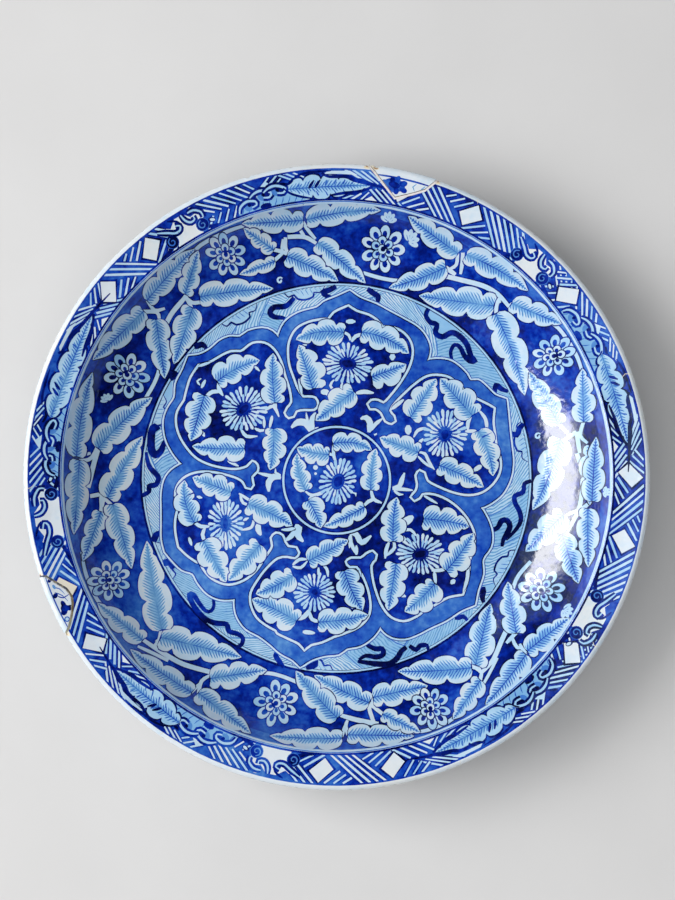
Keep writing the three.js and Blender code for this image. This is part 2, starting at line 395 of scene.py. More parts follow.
# The points and width of each white brush mark.
MEDALLION_MARKS = [
    # roundel stems
    ([(0, 11), (-2, 16), (-2, 26)], 2.2), ([(-2, 16), (-8, 19)], 1.8),
    ([(-8, -10), (-18, -13), (-24, -9)], 2.4), ([(-17, -12), (-21, -18)], 2.6),
    ([(33, -19), (27, -16), (25, -8)], 2.4), ([(28, -16), (23, -18), (19, -22)], 2.4),
    ([(11, -11), (14, -12), (14, -14)], 1.4),
    # sprigs round the roundel
    ([(24, 33), (25, 40), (22, 44), (18, 43)], 4.4), ([(25, 34), (29, 39), (34, 43)], 2.6),
    ([(28, 31), (30, 32)], 3), ([(-19, 34), (-22, 40), (-28, 41), (-33, 37)], 5),
    ([(-17, 35), (-18, 42), (-15, 48)], 3.6), ([(-19, 36), (-21, 42), (-22, 48)], 1.8),
    ([(-16, 35), (-13, 37)], 2.4), ([(-41, 0), (-46, 1), (-50, -3), (-50, -10)], 4.4),
    ([(-42, 1), (-50, 2), (-58, 4)], 2.4), ([(-41, 2), (-45, 4), (-45, 7)], 1.8),
    ([(-31, -35), (-28, -37), (-29, -42), (-25, -47)], 4.6),
    ([(-31, -37), (-36, -38), (-41, -38)], 2.2), ([(-31, -39), (-34, -43), (-38, -46)], 3.4),
    ([(9, -41), (14, -42), (18, -48), (25, -43)], 4), ([(10, -42), (10, -48), (14, -57)], 2.6),
    ([(9, -43), (9, -52)], 1.6), ([(41, -8), (46, -7), (48, -2), (50, 3)], 3.4),
    ([(41, -9), (47, -9), (56, -10)], 2.4), ([(42, -10), (46, -13), (49, -13)], 2),
    # top lobe
    ([(11, 101), (10, 105), (4, 108)], 2), ([(12, 100), (15, 104), (22, 106)], 2.6),
    ([(-1, 72), (-4, 68), (1, 61)], 1.8), ([(5, 70), (4, 66), (6, 62)], 1.6),
    ([(-11, 63), (-7, 63), (-3, 60)], 4), ([(15, 62), (21, 63), (28, 62)], 3),
    ([(8, 115), (15, 115)], 3.2), ([(-27, 73), (-25, 61)], 2), ([(42, 91), (42, 86)], 4.4),
    ([(-24, 98), (-21, 98)], 3),
    # upper right lobe
    ([(53, 38), (53, 31)], 4.6), ([(66, 36), (60, 34), (57, 29)], 2.2), ([(64, 28), (60, 24)], 2.4),
    ([(60, 18), (65, 17), (68, 11), (72, 5)], 2.2), ([(60, 15), (65, 10), (71, 6)], 1.8),
    ([(95, 33), (102, 33), (106, 30)], 2.4), ([(97, 34), (97, 39), (100, 46)], 2.6),
    ([(111, 34), (110, 42), (105, 49)], 2.4), ([(101, 4), (107, 8)], 3.2),
    ([(64, -14), (74, -20)], 1.8), ([(72, 71), (72, 65)], 2.4), ([(41, 50), (50, 57)], 2.6),
    # lower right lobe
    ([(49, -34), (52, -32), (56, -29)], 5.6), ([(47, -40), (54, -39), (59, -45)], 2),
    ([(47, -43), (51, -47)], 2), ([(41, -47), (42, -52), (36, -58)], 2.4),
    ([(38, -48), (36, -53), (35, -60)], 2.6), ([(69, -69), (74, -69), (81, -68)], 2.4),
    ([(71, -70), (72, -79)], 2.4), ([(86, -76), (83, -79)], 3.6),
    ([(96, -67), (95, -76), (92, -85)], 2.4), ([(61, -98), (64, -95)], 2.2),
    ([(45, -86), (50, -88)], 3),
    # bottom lobe
    ([(-21, -97), (-25, -102), (-32, -104)], 3.2), ([(-21, -98), (-19, -104), (-12, -106)], 2.6),
    ([(-12, -63), (-8, -67), (-7, -73)], 2), ([(-14, -66), (-14, -73)], 1.8),
    ([(-33, -64), (-28, -60), (-22, -60)], 2.2), ([(-33, -65), (-27, -66), (-22, -61)], 2),
    ([(-26, -113), (-17, -114)], 3), ([(-47, -85), (-47, -91)], 4), ([(10, -96), (12, -95)], 2.6),
    ([(14, -57), (14, -50)], 2.4), ([(16, -68), (17, -73)], 1.8),
    # lower left lobe
    ([(-105, -32), (-100, -35), (-93, -35)], 2.6), ([(-97, -36), (-99, -41), (-97, -47)], 2.6),
    ([(-72, -11), (-66, -15), (-61, -18)], 2), ([(-71, -12), (-69, -18), (-62, -20)], 2),
    ([(-61, -29), (-63, -36), (-71, -38)], 2), ([(-69, -31), (-65, -29)], 2.2),
    ([(-58, -33), (-58, -38), (-56, -42)], 4), ([(-103, -13), (-99, -14)], 2.2),
    ([(-109, -43), (-107, -49)], 2.2), ([(-82, -67), (-80, -68)], 2.4),
    # upper left lobe
    ([(-70, 36), (-66, 31), (-58, 31)], 2.4), ([(-60, 37), (-56, 35), (-51, 36)], 2),
    ([(-53, 44), (-53, 37)], 2), ([(-99, 35), (-97, 31)], 2.6), ([(-80, 13), (-72, 9)], 2),
    ([(-86, 72), (-86, 66), (-83, 61)], 2.8), ([(-96, 60), (-91, 64), (-84, 64)], 2.8),
    ([(-99, 67), (-96, 73)], 2.2), ([(-100, 69), (-102, 72), (-99, 74)], 1.4),
    ([(-101, 83), (-92, 86)], 1.8), ([(-60, 83), (-56, 79)], 2), ([(-45, 56), (-45, 50)], 3),
    ([(-52, 50), (-46, 53), (-42, 45)], 2.4), ([(-47, 46), (-49, 37)], 2.2),
]
DOTS = [((-15.5, 7.5), 1.8), ((-15.5, 3), 1.0)]

# The ribbon's two edges, cusp by cusp.
RIBBON_OUTER = [
    [(-42, 103), (-37, 114), (-27, 121), (-13, 125), (-8, 129), (2, 133)],
    [(11, 137), (18, 132), (30, 127), (39, 122), (50, 116), (60, 110), (66, 103), (69, 94)],
    [(67, 85), (74, 86), (83, 85), (90, 81), (96, 75), (99, 70), (105, 70), (111, 65), (117, 59)],
    [(125, 56), (126, 45), (127, 32), (128, 22), (129, 10), (127, -2), (121, -13), (112, -20)],
    [(105, -23), (110, -32), (113, -42), (112, -52), (106, -61), (106, -72), (102, -84)],
    [(100, -94), (90, -98), (79, -105), (68, -110), (58, -115), (49, -118), (40, -117), (34, -113)],
    [(31, -109), (25, -117), (16, -123), (6, -125), (0, -129), (-10, -130), (-20, -133)],
    [(-28, -138), (-33, -133), (-42, -128), (-50, -121), (-58, -115), (-67, -110), (-73, -102),
     (-75, -94)],
    [(-75, -88), (-86, -88), (-95, -84), (-102, -76), (-106, -69), (-114, -66), (-121, -59)],
    [(-126, -53), (-128, -44), (-128, -32), (-128, -21), (-128, -11), (-126, -1), (-121, 6)],
    [(-113, 11), (-120, 20), (-125, 31), (-126, 43), (-123, 52), (-118, 60), (-117, 70), (-112, 80)],
    [(-108, 90), (-100, 91), (-92, 95), (-85, 101), (-78, 104), (-70, 104), (-64, 108), (-54, 110),
     (-47, 108)],
]
RIBBON_INNER = [
    [(-5, 117), (-10, 117), (-20, 115), (-29, 110), (-34, 101), (-35, 92), (-34, 83), (-31, 74),
     (-28, 66)],
    [(-24, 60), (-20, 60), (-15, 59), (-13, 54), (-16, 50), (-23, 50), (-29, 49), (-31, 45),
     (-35, 44), (-38, 48), (-36, 52), (-33, 56), (-34, 65), (-37, 75), (-40, 86), (-45, 95),
     (-52, 100), (-61, 100)],
    [(-68, 95), (-70, 94), (-77, 94), (-84, 91), (-93, 86)],
    [(-101, 84), (-107, 75), (-110, 66)],
    [(-112, 58), (-117, 50), (-118, 42), (-116, 33), (-111, 24), (-104, 16), (-95, 11), (-84, 8),
     (-74, 7), (-66, 9), (-62, 13), (-58, 10), (-58, 5), (-62, 1), (-61, -5), (-63, -8), (-67, -7),
     (-69, -3), (-73, 0), (-82, 3), (-92, 5), (-102, 5), (-111, 2), (-117, -4), (-119, -12)],
    [(-117, -21), (-119, -30), (-119, -39)],
    [(-117, -50), (-111, -56), (-104, -61)],
    [(-101, -62), (-97, -69), (-90, -75), (-80, -78), (-69, -75), (-60, -68), (-53, -58), (-48, -50),
     (-49, -44), (-45, -40), (-40, -42), (-38, -47), (-36, -50), (-30, -51), (-28, -55), (-31, -59),
     (-37, -58), (-44, -59), (-52, -66), (-59, -75), (-64, -84), (-64, -93), (-60, -102), (-53, -108)],
    [(-46, -112), (-45, -114), (-37, -118), (-29, -122)],
    [(-25, -127), (-20, -123), (-12, -121)],
    [(-3, -117), (6, -114), (15, -110), (22, -103), (24, -94), (22, -82), (18, -72), (14, -66),
     (9, -66), (6, -62), (10, -59), (17, -59), (21, -56), (26, -54), (29, -57), (28, -61), (25, -65),
     (26, -76), (29, -87), (33, -96), (39, -103), (48, -106), (57, -103)],
    [(64, -98), (72, -94), (81, -89)],
    [(92, -87), (96, -74)],
    [(97, -62), (100, -53), (101, -43), (97, -33), (90, -24), (81, -17), (71, -13), (63, -13),
     (61, -16), (57, -18), (54, -15), (58, -10), (59, -5), (58, 1), (61, 5), (65, 3), (67, -3),
     (76, -8), (86, -12), (97, -14), (107, -12), (115, -6), (120, 2), (121, 11)],
    [(118, 22), (117, 31), (116, 40)],
    [(117, 50), (112, 53), (106, 56)],
    [(98, 60), (91, 67), (84, 73), (75, 75), (67, 74), (59, 69), (51, 62), (44, 55), (40, 49),
     (43, 45), (44, 41), (41, 39), (36, 41), (33, 47), (29, 50), (25, 50), (23, 54), (26, 57),
     (31, 57), (35, 55), (41, 61), (48, 70), (54, 80), (57, 90), (56, 99), (51, 106), (44, 110)],
    [(35, 111), (31, 116), (25, 120), (16, 123)],
    [(10, 127), (5, 125), (-1, 122)],
]
# Dark hooked strokes in the pale band: points and width.
HOOKS = [
    ([(1, 141), (-5, 138), (-9, 137), (-6, 134), (-2, 133)], 2.2),
    ([(24, 139), (28, 136), (32, 133), (31, 128)], 2.2),
    ([(-30, 133), (-36, 127), (-45, 126), (-48, 122), (-45, 119), (-38, 118), (-35, 115)], 2.2),
    ([(69, 124), (67, 119), (70, 114), (75, 112), (74, 106), (79, 103), (86, 106), (92, 103),
     (97, 97), (100, 88), (103, 85), (99, 85), (95, 89), (92, 95), (88, 97), (85, 92), (86, 85)], 2.2),
    ([(117, 61), (118, 67), (122, 64), (127, 62)], 2),
    ([(138, 38), (135, 35), (133, 30), (129, 31), (127, 29)], 2.2),
    ([(143, -4), (138, -6), (137, -12), (131, -15), (131, -20), (134, -26), (135, -33), (131, -40),
     (124, -47)], 1.8),
    ([(114, -40), (118, -38), (121, -33), (125, -33), (127, -37), (125, -42), (122, -47),
     (121, -52)], 2.2),
    ([(103, -84), (107, -83), (106, -89), (107, -93)], 2.2),
    ([(88, -101), (87, -104), (92, -103), (95, -106)], 1.8),
    ([(21, -123), (27, -126), (32, -126), (33, -130), (28, -132), (20, -131), (15, -134)], 2),
    ([(50, -125), (46, -128), (43, -133), (37, -137), (28, -137), (14, -135)], 2.2),
    ([(52, -124), (57, -127), (60, -124), (65, -124), (66, -128)], 1.8),
    ([(-24, -139), (-17, -137), (-17, -133)], 2.6),
    ([(-44, -127), (-46, -130), (-43, -135), (-40, -139)], 2),
    ([(-75, -124), (-71, -122), (-70, -117), (-74, -114), (-80, -112), (-82, -107), (-90, -106),
     (-97, -103), (-103, -97), (-107, -91), (-109, -85), (-106, -85), (-102, -91), (-97, -97),
     (-93, -97), (-91, -93), (-92, -86)], 2),
    ([(-128, -62), (-123, -61), (-121, -66)], 3),
    ([(-143, -12), (-138, -9), (-138, -5), (-133, -4), (-131, 1), (-134, 5), (-138, 10),
     (-140, 20)], 2),
    ([(-131, 36), (-134, 39), (-136, 33), (-136, 22), (-133, 18), (-129, 21), (-127, 26),
     (-125, 29)], 3.2),
    ([(-135, -46), (-133, -41), (-130, -39)], 2.6),
    ([(-119, 73), (-121, 78), (-117, 76), (-115, 74)], 3),
    ([(-104, 97), (-98, 99), (-95, 96)], 2.4),
]
# Where the wall's flowers lie, in degrees.
INNER_ROSETTES = [78, 330.5, 254.5, 153.5]
OUTER_ROSETTES = [28.5, 291.5, 204, 116]
CAVETTO_LEAVES = [
    ((96, 188), (80, 195), 7, 2), ((94, 172), (81, 145), 8, 1), ((102, 166), (89, 145), 8.5, 1),
    ((61, 185), (74, 195), 7.5), ((62, 173), (74, 145), 8, 1), ((59, 187), (43.5, 193), 7.5, 2),
    ((47, 170), (65, 147), 10.5), ((44, 180), (33.5, 196), 7.5), ((45, 167), (23, 151), 10.5, 2),
    ((12, 184), (23, 194), 7.5), ((13, 167), (28, 161), 8), ((9, 166), (350, 146), 10, 2),
    ((6, 187), (353, 185), 7, -1), ((176, 187), (192, 194), 7.5), ((175, 189), (156.5, 192), 7.5, 2),
    ((184.5, 168), (167.5, 146), 9.5, 1), ((172.5, 175), (156, 148), 9.5, 2),
    ((139, 185), (154, 195), 7.5), ((138.5, 175), (149.5, 146), 8.5),
    ((136.5, 188), (121.5, 194), 7, 1), ((130, 163), (144.5, 146), 9), ((129, 174), (121, 192), 6.5),
    ((126.5, 166), (108, 147), 9, 1), ((97, 188), (110, 195), 7), ((105, 173), (110, 192), 6),
    ((105.5, 165), (115, 165), 5, 0, 2), ((272, 187), (286, 195), 7), ((270.5, 189), (255, 193), 7, 1),
    ((277.5, 166), (263, 146), 8.5, 1), ((269.5, 175), (257.5, 145), 9, 1),
    ((237, 186), (251, 195), 7.5), ((237.5, 173), (249.5, 150), 9), ((235.5, 188), (219.5, 194), 7, 1),
    ((222, 173), (241.5, 149), 10.5), ((219.5, 184), (207.5, 195), 7),
    ((220.5, 169), (198, 147), 10.5, 1), ((188, 174), (198, 193), 6.5),
    ((186.5, 165), (203.5, 164), 8.5), ((354, 186), (368, 190), 7), ((352, 184), (339.5, 193), 7),
    ((345, 170), (335.5, 191), 8), ((350, 168), (338, 149), 9), ((317, 187), (328, 196), 7.5),
    ((318.5, 173), (328, 147), 8.5), ((316, 188), (302.5, 196), 7.5, 1), ((306, 170), (320, 146), 9.5),
    ((304.5, 181), (295, 194), 7), ((304.5, 170), (287, 149), 9.5, 1), ((280.5, 176), (287.5, 194), 6),
    ((279, 163), (293, 166), 8.5),
]
# The points and width of each white stem: in each quarter, its runs and side shoots.
CAVETTO_STEMS = [
    ([(62, 167), (57, 171), (52, 176), (48, 178), (44, 177)], 2.8),
    ([(60, 187), (59, 181), (58, 174)], 2.2), ([(62, 173), (59, 172)], 2.6),
    ([(47, 177), (46.5, 172), (45, 167)], 2.4), ([(46.5, 176), (47, 171)], 2),
    ([(44, 177), (44, 181)], 2.2), ([(61, 185), (60, 178), (61, 173)], 2),
    ([(82, 152), (77, 150.5), (72, 152), (69, 157)], 2.2), ([(101, 179), (97, 177), (94, 171)], 2.4),
    ([(97, 187), (96, 181), (94.5, 175)], 2), ([(101.5, 179), (102, 172), (101.5, 165)], 2.2),
    ([(98, 183), (97, 177)], 2), ([(10, 178), (9, 171), (8, 166)], 2.4),
    ([(12, 184), (9, 180), (7, 184)], 2), ([(10, 178), (5, 178)], 2.4), ([(13, 167), (10, 172)], 2.2),
    ([(37, 188), (33, 193), (26, 194), (20, 192)], 1.8),
    ([(140, 166), (135, 170), (130, 172), (128, 174)], 2.8),
    ([(139, 185), (137, 178), (138, 173)], 2.2), ([(136.5, 188), (137, 180), (135, 176)], 2),
    ([(129.5, 173), (129, 166), (126.5, 162)], 2.2), ([(129.5, 172), (130, 163)], 2),
    ([(157, 152), (152, 151), (148, 153), (145, 158)], 2.2),
    ([(190, 184), (188, 174), (184, 172), (184.5, 166)], 2.4),
    ([(182, 181), (176, 177), (170, 174)], 2.8), ([(176, 187), (175, 179), (170, 174)], 2.2),
    ([(175, 189), (174, 180)], 2), ([(184, 180), (183.5, 170)], 2.4),
    ([(124, 190), (120, 194), (113, 194), (108, 193)], 1.8),
    ([(105, 173), (103, 170), (101, 166)], 2.2), ([(102, 178), (103, 171)], 2.4),
    ([(106, 165), (103, 169)], 2), ([(238, 168), (233, 173), (229, 177), (223, 181), (219, 184)], 2.8),
    ([(237, 186), (236, 178), (237, 171)], 2.2), ([(235.5, 188), (236, 180)], 2),
    ([(222.5, 181), (222, 175), (220.5, 170)], 2.4), ([(222, 178), (222, 172)], 2.2),
    ([(227, 181), (223, 185), (220, 189)], 1.8),
    ([(259, 153), (254, 151), (250, 152), (246, 157)], 2.2),
    ([(279, 182), (274, 177), (270, 173)], 2.8), ([(272, 187), (271.5, 181), (272, 177)], 2.2),
    ([(270.5, 188), (271.5, 180)], 2), ([(278, 180), (277.5, 172), (277.5, 166)], 2.4),
    ([(211, 190), (207, 194), (201, 194), (196, 192)], 1.8),
    ([(188, 174), (185, 171), (184, 167)], 2.2), ([(186.5, 166), (184.5, 171)], 2),
    ([(320, 165), (315, 169), (310, 175), (306, 177)], 2.8),
    ([(317, 187), (316, 180), (317, 173)], 2.2), ([(316, 188), (317, 180)], 2),
    ([(318.5, 173), (315, 173)], 2.2), ([(306, 178), (305.5, 172), (304, 167)], 2.4),
    ([(306, 170), (306, 176)], 2), ([(304.5, 181), (306, 177)], 2),
    ([(311, 176), (307, 181), (304, 185)], 1.6),
    ([(336, 155), (331, 151.5), (327, 153), (324, 158)], 2.2),
    ([(297, 191), (294, 194), (289, 194), (285, 192)], 1.8),
    ([(280.5, 176), (279, 171), (277.5, 166)], 2.2), ([(279, 163), (278, 170)], 2),
    ([(354, 186), (352, 180), (350, 170)], 2.2), ([(352, 184), (351, 178)], 2),
    ([(360, 180), (352, 178), (345, 172)], 2.4), ([(365, 176), (360, 180)], 2.4),
]
CAVETTO_CURLS = [(11, 151), (105.5, 151)]
# Little fans of petals beside the flowers: degrees, millimetres, turn, size.
CAVETTO_BUDS = [
    (78, 189, 78, 6), (72.5, 180, 40, 7.5), (329, 190, 329, 6), (161, 176, 120, 5), (356, 193, 356, 4),
]

# Each stretch of the border, clockwise: where its leaf starts and its tip, its diamonds, the middle
# and reach of its scrolled gap, a third diamond if it has one, and its three arching curls.
RIM = [
    dict(leaf=(99.5, 82.5), diamonds=(76.3, 62.2), gap=(46.7, 3.5), third=37.4,
         arches=((33.2, 204.8), (29.7, 209.0), (26.0, 209.0))),
    dict(leaf=(384, 365.5), diamonds=(359.5, 346.5), gap=(330.3, 4.2), third=322.4,
         arches=((316.5, 204.8), (313.0, 208.7), (309.1, 208.7))),
    dict(leaf=(307, 288.7), diamonds=(280.5, 266.5), gap=(257.0, 3.75), third=None,
         arches=((246.3, 204.6), (242.6, 208.7), (238.7, 208.7))),
    dict(leaf=(237, 220.7), diamonds=(214.2, 202.0), gap=(187.9, 4.8), third=None,
         arches=((177.2, 206.0), (173.7, 207.4), (170.2, 207.4))),
    dict(leaf=(168, 146.0), diamonds=(140.6, 128.8), gap=(121.0, 3.5), third=None,
         arches=((107.5, 204.6), (104.3, 209.0), (101.4, 210.0))),
]


# --- The dish's painting ------------------------------------------------------------------------
# Radii from the dish's axis, or from the roundel's own centre.
MEDALLION = 142.4
ROUNDEL = 39.3
ROUNDEL_CENTRE = (0.0, -2.0)
CAVETTO = 197.0  # the painted wall
BORDER = (199.6, 220.6)
BORDER_MIDDLE = 210.0
DIAMOND_MIDDLE = 211
FAN_ROOT = 104  # the fans of fine strokes bend away from here
# How strong a few blues are.
RIBBON = 0.52
STEM = 0.84
BORDER_GROUND = 0.64


def around(points):
    return [polar(degrees, radius) for degrees, radius in points]


def draw_wave_fans(art):
    """The pale band outside the ribbon, brushed with overlapping fans of fine curved strokes."""
    inner, outer = FAN_ROOT + 1.0, MEDALLION - 1.0
    step = 4.0
    radii = [inner + (outer - inner) * k / 3 for k in range(4)]
    degrees = 0.0
    hand = 1
    while degrees < 360:
        count = chance.choice((3, 4, 5))
        sweep = hand * chance.uniform(9, 20)
        shade = chance.choice((0.03, 0.07, 0.14))
        hand = -hand if chance.random() < 0.7 else hand

        def bent(i, r):
            share = max(0.0, (r - FAN_ROOT) / (outer - FAN_ROOT))
            return polar(degrees + i * step + sweep * share**2, r)

        for i in range(-1, count + 2):
            for r0, r1 in zip(radii, radii[1:]):
                spots = ((i, r0), (i, r1), (i + 1, r1), (i + 1, r0))
                paints = [(shade, 1.0, 0.9, 0.0, math.radians(a * step) * FAN_ROOT, 0.9, 0.59)
                          for a, _ in spots]
                art.patch([bent(*spot) for spot in spots], paints)
        art.stroke([bent(-1, r) for r in radii], 0.9, 0.42, ends=(1, 0.6), spacing=COARSE)
        degrees += count * step


def draw_clouds(art):
    """Little banks of scalloped cloud that hang from the line round the medallion."""
    bank = ((6.2, 1), (5.4, 4.6), (3.6, 4.2), (2.8, 7.4), (0.4, 9.2), (-2.2, 7.8), (-2.6, 4.8),
            (-4.6, 5.2), (-6, 1))
    for middle in (10, 99, 120, 160, 205, 262, 331):
        outline = smooth([polar(middle + a, MEDALLION - r) for a, r in bank], 1.6)
        art.fill(outline, 0.1, 0.9)
        for k in range(7):
            degrees = middle + 4.2 - 1.4 * k
            tip = MEDALLION - (6 if 1 < k < 5 else 4)
            art.stroke([polar(degrees, MEDALLION - 1.5), polar(degrees - 0.8, tip)], 0.7, 0.4)
        art.stroke(outline, 1.5, 0.8, spacing=COARSE)


def draw_ribbon(art):
    """The looped ribbon that frames the medallion's six lobes."""
    outer = joined(RIBBON_OUTER)
    art.stroke(outer, 5.4, BAR, closed=True, spacing=COARSE)
    art.stroke(outer, 4.2, MILK, closed=True, spacing=COARSE)
    art.stroke(outer, 1.7, DEEP, closed=True, spacing=COARSE)
    art.fill(outer, RIBBON)
    inner = joined(RIBBON_INNER)
    art.fill(inner, COBALT)
    art.stroke(inner, 3.0, DEEP, closed=True, spacing=COARSE)
    art.stroke(inner, 1.7, MILK, closed=True, spacing=COARSE)


def draw_medallion(art):
    """The floor: six lobes in a looped ribbon round a small roundel, each with its flower and leaves."""
    art.ring(MEDALLION + 1.4, 1.8, NAVY)
    art.ring(MEDALLION, 1.4, 0.12)
    art.circle(MEDALLION - 0.6, NAVY)
    art.circle(MEDALLION - 1.3, PALE, 0.5)
    draw_wave_fans(art)
    draw_clouds(art)
    for path, width in HOOKS:
        art.stroke(path, width * 1.5 + 1.0, STEM, ends=(0.75, 0.55), spacing=1.8)
    draw_ribbon(art)
    for path, width in MEDALLION_MARKS:
        art.stroke(path, width + 1.4, DEEP)
    for path, width in MEDALLION_MARKS:
        art.stroke(path, width + 0.2, MILK)
    art.ring(ROUNDEL, 3.4, DEEP, ROUNDEL_CENTRE, 60)
    art.ring(ROUNDEL, 1.5, 0.1, ROUNDEL_CENTRE, 60)
    for centre, half_sizes, *rest in DAISIES:
        daisy(art, centre, *half_sizes, *rest)
    for base, tip, wide, *shape in MEDALLION_LEAVES:
        leaf(art, base, tip, wide * 1.04, *shape)
    for centre, radius in DOTS:
        art.fill(ellipse(centre, radius, radius, 0, 10), MILK)


def draw_cavetto(art):
    """The wall: leafy stems round open flowers on a blue ground."""
    art.circle(CAVETTO, COBALT)
    art.ring(CAVETTO - 2.6, 5.0, 0.59)
    for path, width in CAVETTO_STEMS:
        art.stroke(around(path), width + 2.0, DEEP, (0.9, 0.8))
    for path, width in CAVETTO_STEMS:
        art.stroke(around(path), width + 0.5, MILK, (0.95, 0.7))
    for base, tip, wide, *shape in CAVETTO_LEAVES:
        leaf(art, polar(*base), polar(*tip), wide * 1.1, *shape)
    for degrees in INNER_ROSETTES:
        rosette(art, polar(degrees, 170.5), 15.5, degrees)
    for degrees in OUTER_ROSETTES:
        rosette(art, polar(degrees, 181), 14.0, degrees + 20)
    for degrees, radius, turn, size in CAVETTO_BUDS:
        foot = polar(degrees, radius)
        for degrees in range(turn - 68, turn + 69, 34):
            petal = offset(foot, degrees, size * 0.55)
            art.fill(ellipse(petal, size * 0.52, size * 0.26, degrees, 12), MILK)
            art.stroke([foot, offset(foot, degrees, size * 0.6)], 0.6, SKY)
    for degrees, radius in CAVETTO_CURLS:
        curl(art, polar(degrees, radius), 2.4, 40, 1.5, MILK)


def strips(art, runs, width=1.7):
    """Light strips, each between two dark edges. A run is its two ends as (degrees, millimetres)."""
    for run in runs:
        art.stroke(around(run), width + 1.7, chance.uniform(0.64, 0.8), ends=(1, 1), spacing=COARSE)
    for run in runs:
        press = chance.uniform(0.8, 1.1)
        art.stroke(around(run), width * press, chance.uniform(0.03, 0.13), ends=(0.9, 0.8), spacing=COARSE)


def bundle(art, start, stop):
    """Full light strips that cross the border, down from one angle to another on its middle line."""
    runs = []
    degrees = start
    while degrees > stop:
        ends = (degrees + 3.1, BORDER[1]), (degrees - 3.0, BORDER[0])
        runs.append([ends[0], (degrees + 0.2, BORDER_MIDDLE), ends[1]])
        degrees -= 1.45
    strips(art, runs, 1.75)


def crossing(art, tip, first):
    """Strips that meet the dark stem beyond a leaf's tip from four sides."""
    room = (tip - first) / 8.2
    strips(art, [[(tip + 5.4 - 1.5 * k, 220.5), (tip + 0.9 - 1.4 * k * room, 212.4)]
                 for k in range(4)], 1.4)
    strips(art, [[(tip + 0.5 - 1.7 * k * room, 208.8), (tip - 2.6 - 1.8 * k * room, 199.6)]
                 for k in range(4)], 1.7)
    strips(art, [[(tip - 1.2 - 1.45 * k * room, 215 - 2.2 * k), (tip - 3.2 - 1.7 * k * room, 220.4)]
                 for k in range(3)], 1.5)
    strips(art, [[(tip + 5.8 - 1.9 * k, 199.8), (tip + 3.4 - 1.5 * k, 203.4 + 1.2 * k)]
                 for k in range(3)], 1.4)
    art.fill(around([(tip - 0.2, 203.4), (tip + 1.2, 200.2), (tip - 1.4, 200.2)]), BARE)


# The corners of a diamond: degrees and millimetres from its middle.
DIAMOND = ((2.3, -0.9), (0.6, -8.6), (-2.4, 0.9), (-0.5, 8.6))


def diamond(art, degrees):
    """A white lozenge, longer along one slant, with a dark edge."""
    for grow, blue in ((1.25, DEEP), (1.0, BARE)):
        art.fill(around([(degrees + a * grow, DIAMOND_MIDDLE + r * grow**0.5) for a, r in DIAMOND]), blue)


def beside_diamond(art, degrees, above=True, below=True):
    """Short strips that slant the other way, over and under a full bundle."""
    if below:
        strips(art, [[(degrees + 0.5 - 2.0 * k, 200.0), (degrees - 3.5 - 1.2 * k, 209.6 - 2.8 * k)]
                     for k in range(3)], 1.6)
    if above:
        strips(art, [[(degrees + 3.6 + 1.1 * k, 211.4 + 2.4 * k), (degrees + 0.6 + 1.75 * k, 219.8)]
                     for k in range(3)], 1.6)


def outlined(art, path, width=1.5):
    """A brushed scroll: a broad dark line on each side of a light one."""
    art.stroke(around(path), width + 3.6, 0.8, ends=(0.7, 0.9), spacing=1.6)
    art.stroke(around(path), width, 0.12, ends=(0.5, 0.6), spacing=1.6)


def snail(art, degrees, radius, size, tail):
    """A tight dark scroll with a thin paler line wound inside it."""
    centre = polar(degrees, radius)
    art.stroke(around(tail), 2.8, DEEP, ends=(0.3, 1.0))
    art.fill(ellipse(centre, size + 0.6, size + 0.6), SKY)
    art.fill(ellipse(centre, size + 0.2, size + 0.2), DEEP)
    wound = [offset(centre, degrees + 50 * k, size * (0.76 - 0.07 * k)) for k in range(9)]
    art.stroke(wound, 0.9, 0.42, ends=(0.7, 0.6), spacing=1.2)


def draw_gap(art, middle, reach):
    """The white gap of the border, with a pair of dark scrolls on each side."""
    stretch = reach / 3.75

    def path(*points):
        return [(middle + a * stretch, r) for a, r in points]

    art.fill(around(path((3.2, 199.5), (3.0, 204), (4.2, 212), (3.4, 216), (2.6, 214), (0.9, 218.4),
                         (-1.0, 218.4), (-2.2, 214), (-5.0, 216), (-4.4, 208), (-3.0, 204),
                         (-3.2, 199.5))), BARE)
    snail(art, middle + 3.8 * stretch, 205.8, 4.3, path((8.4, 199.8), (6.2, 200.6), (4.6, 203)))
    snail(art, middle - 3.7 * stretch, 205.4, 4.3, path((-7.4, 200.2), (-5.8, 200.8), (-4.4, 203)))
    outlined(art, path((5.4, 217), (3.6, 213), (2.2, 209.8), (1.0, 210), (0.6, 212.6), (1.5, 214)))
    art.stroke(around(path((2.4, 219.6), (1.2, 217.4), (0.4, 214.6), (0.4, 212))), 1.7, DEEP)
    outlined(art, path((-0.6, 218.6), (-0.9, 213.6), (-1.8, 210.6), (-2.8, 211.4), (-2.8, 213.6)))
    outlined(art, path((-2.0, 217.4), (-3.4, 217.2), (-4.6, 213.8), (-4.6, 210)))
    art.fill(ellipse(polar(middle - 6.0 * stretch, 205.6), 2.9, 1.8, middle + 60, 12), DEEP)
    art.fill(ellipse(polar(middle - 6.1 * stretch, 205.4), 1.9, 1.0, middle + 60, 12), MILK)


def arch(art, degrees, radius, upright):
    """A light curl that arches over and winds in, between dark lines."""
    if upright:
        path = ((2.3, -3.4), (1.7, 1.0), (0.1, 3.4), (-1.5, 1.9), (-1.6, -0.8), (-0.6, -1.6))
    else:
        path = ((2.6, 0.6), (1.4, 3.0), (-0.1, 3.5), (-1.8, 0.6), (-1.3, -2.2), (-0.1, -1.6))
    art.fill(ellipse(polar(degrees, radius), 3.6, 3.6), 0.4)
    outlined(art, [(degrees + a, radius + r) for a, r in path], 1.7)
    art.fill(ellipse(polar(degrees - 0.2, radius + 0.4), 1.4, 1.2), NAVY)


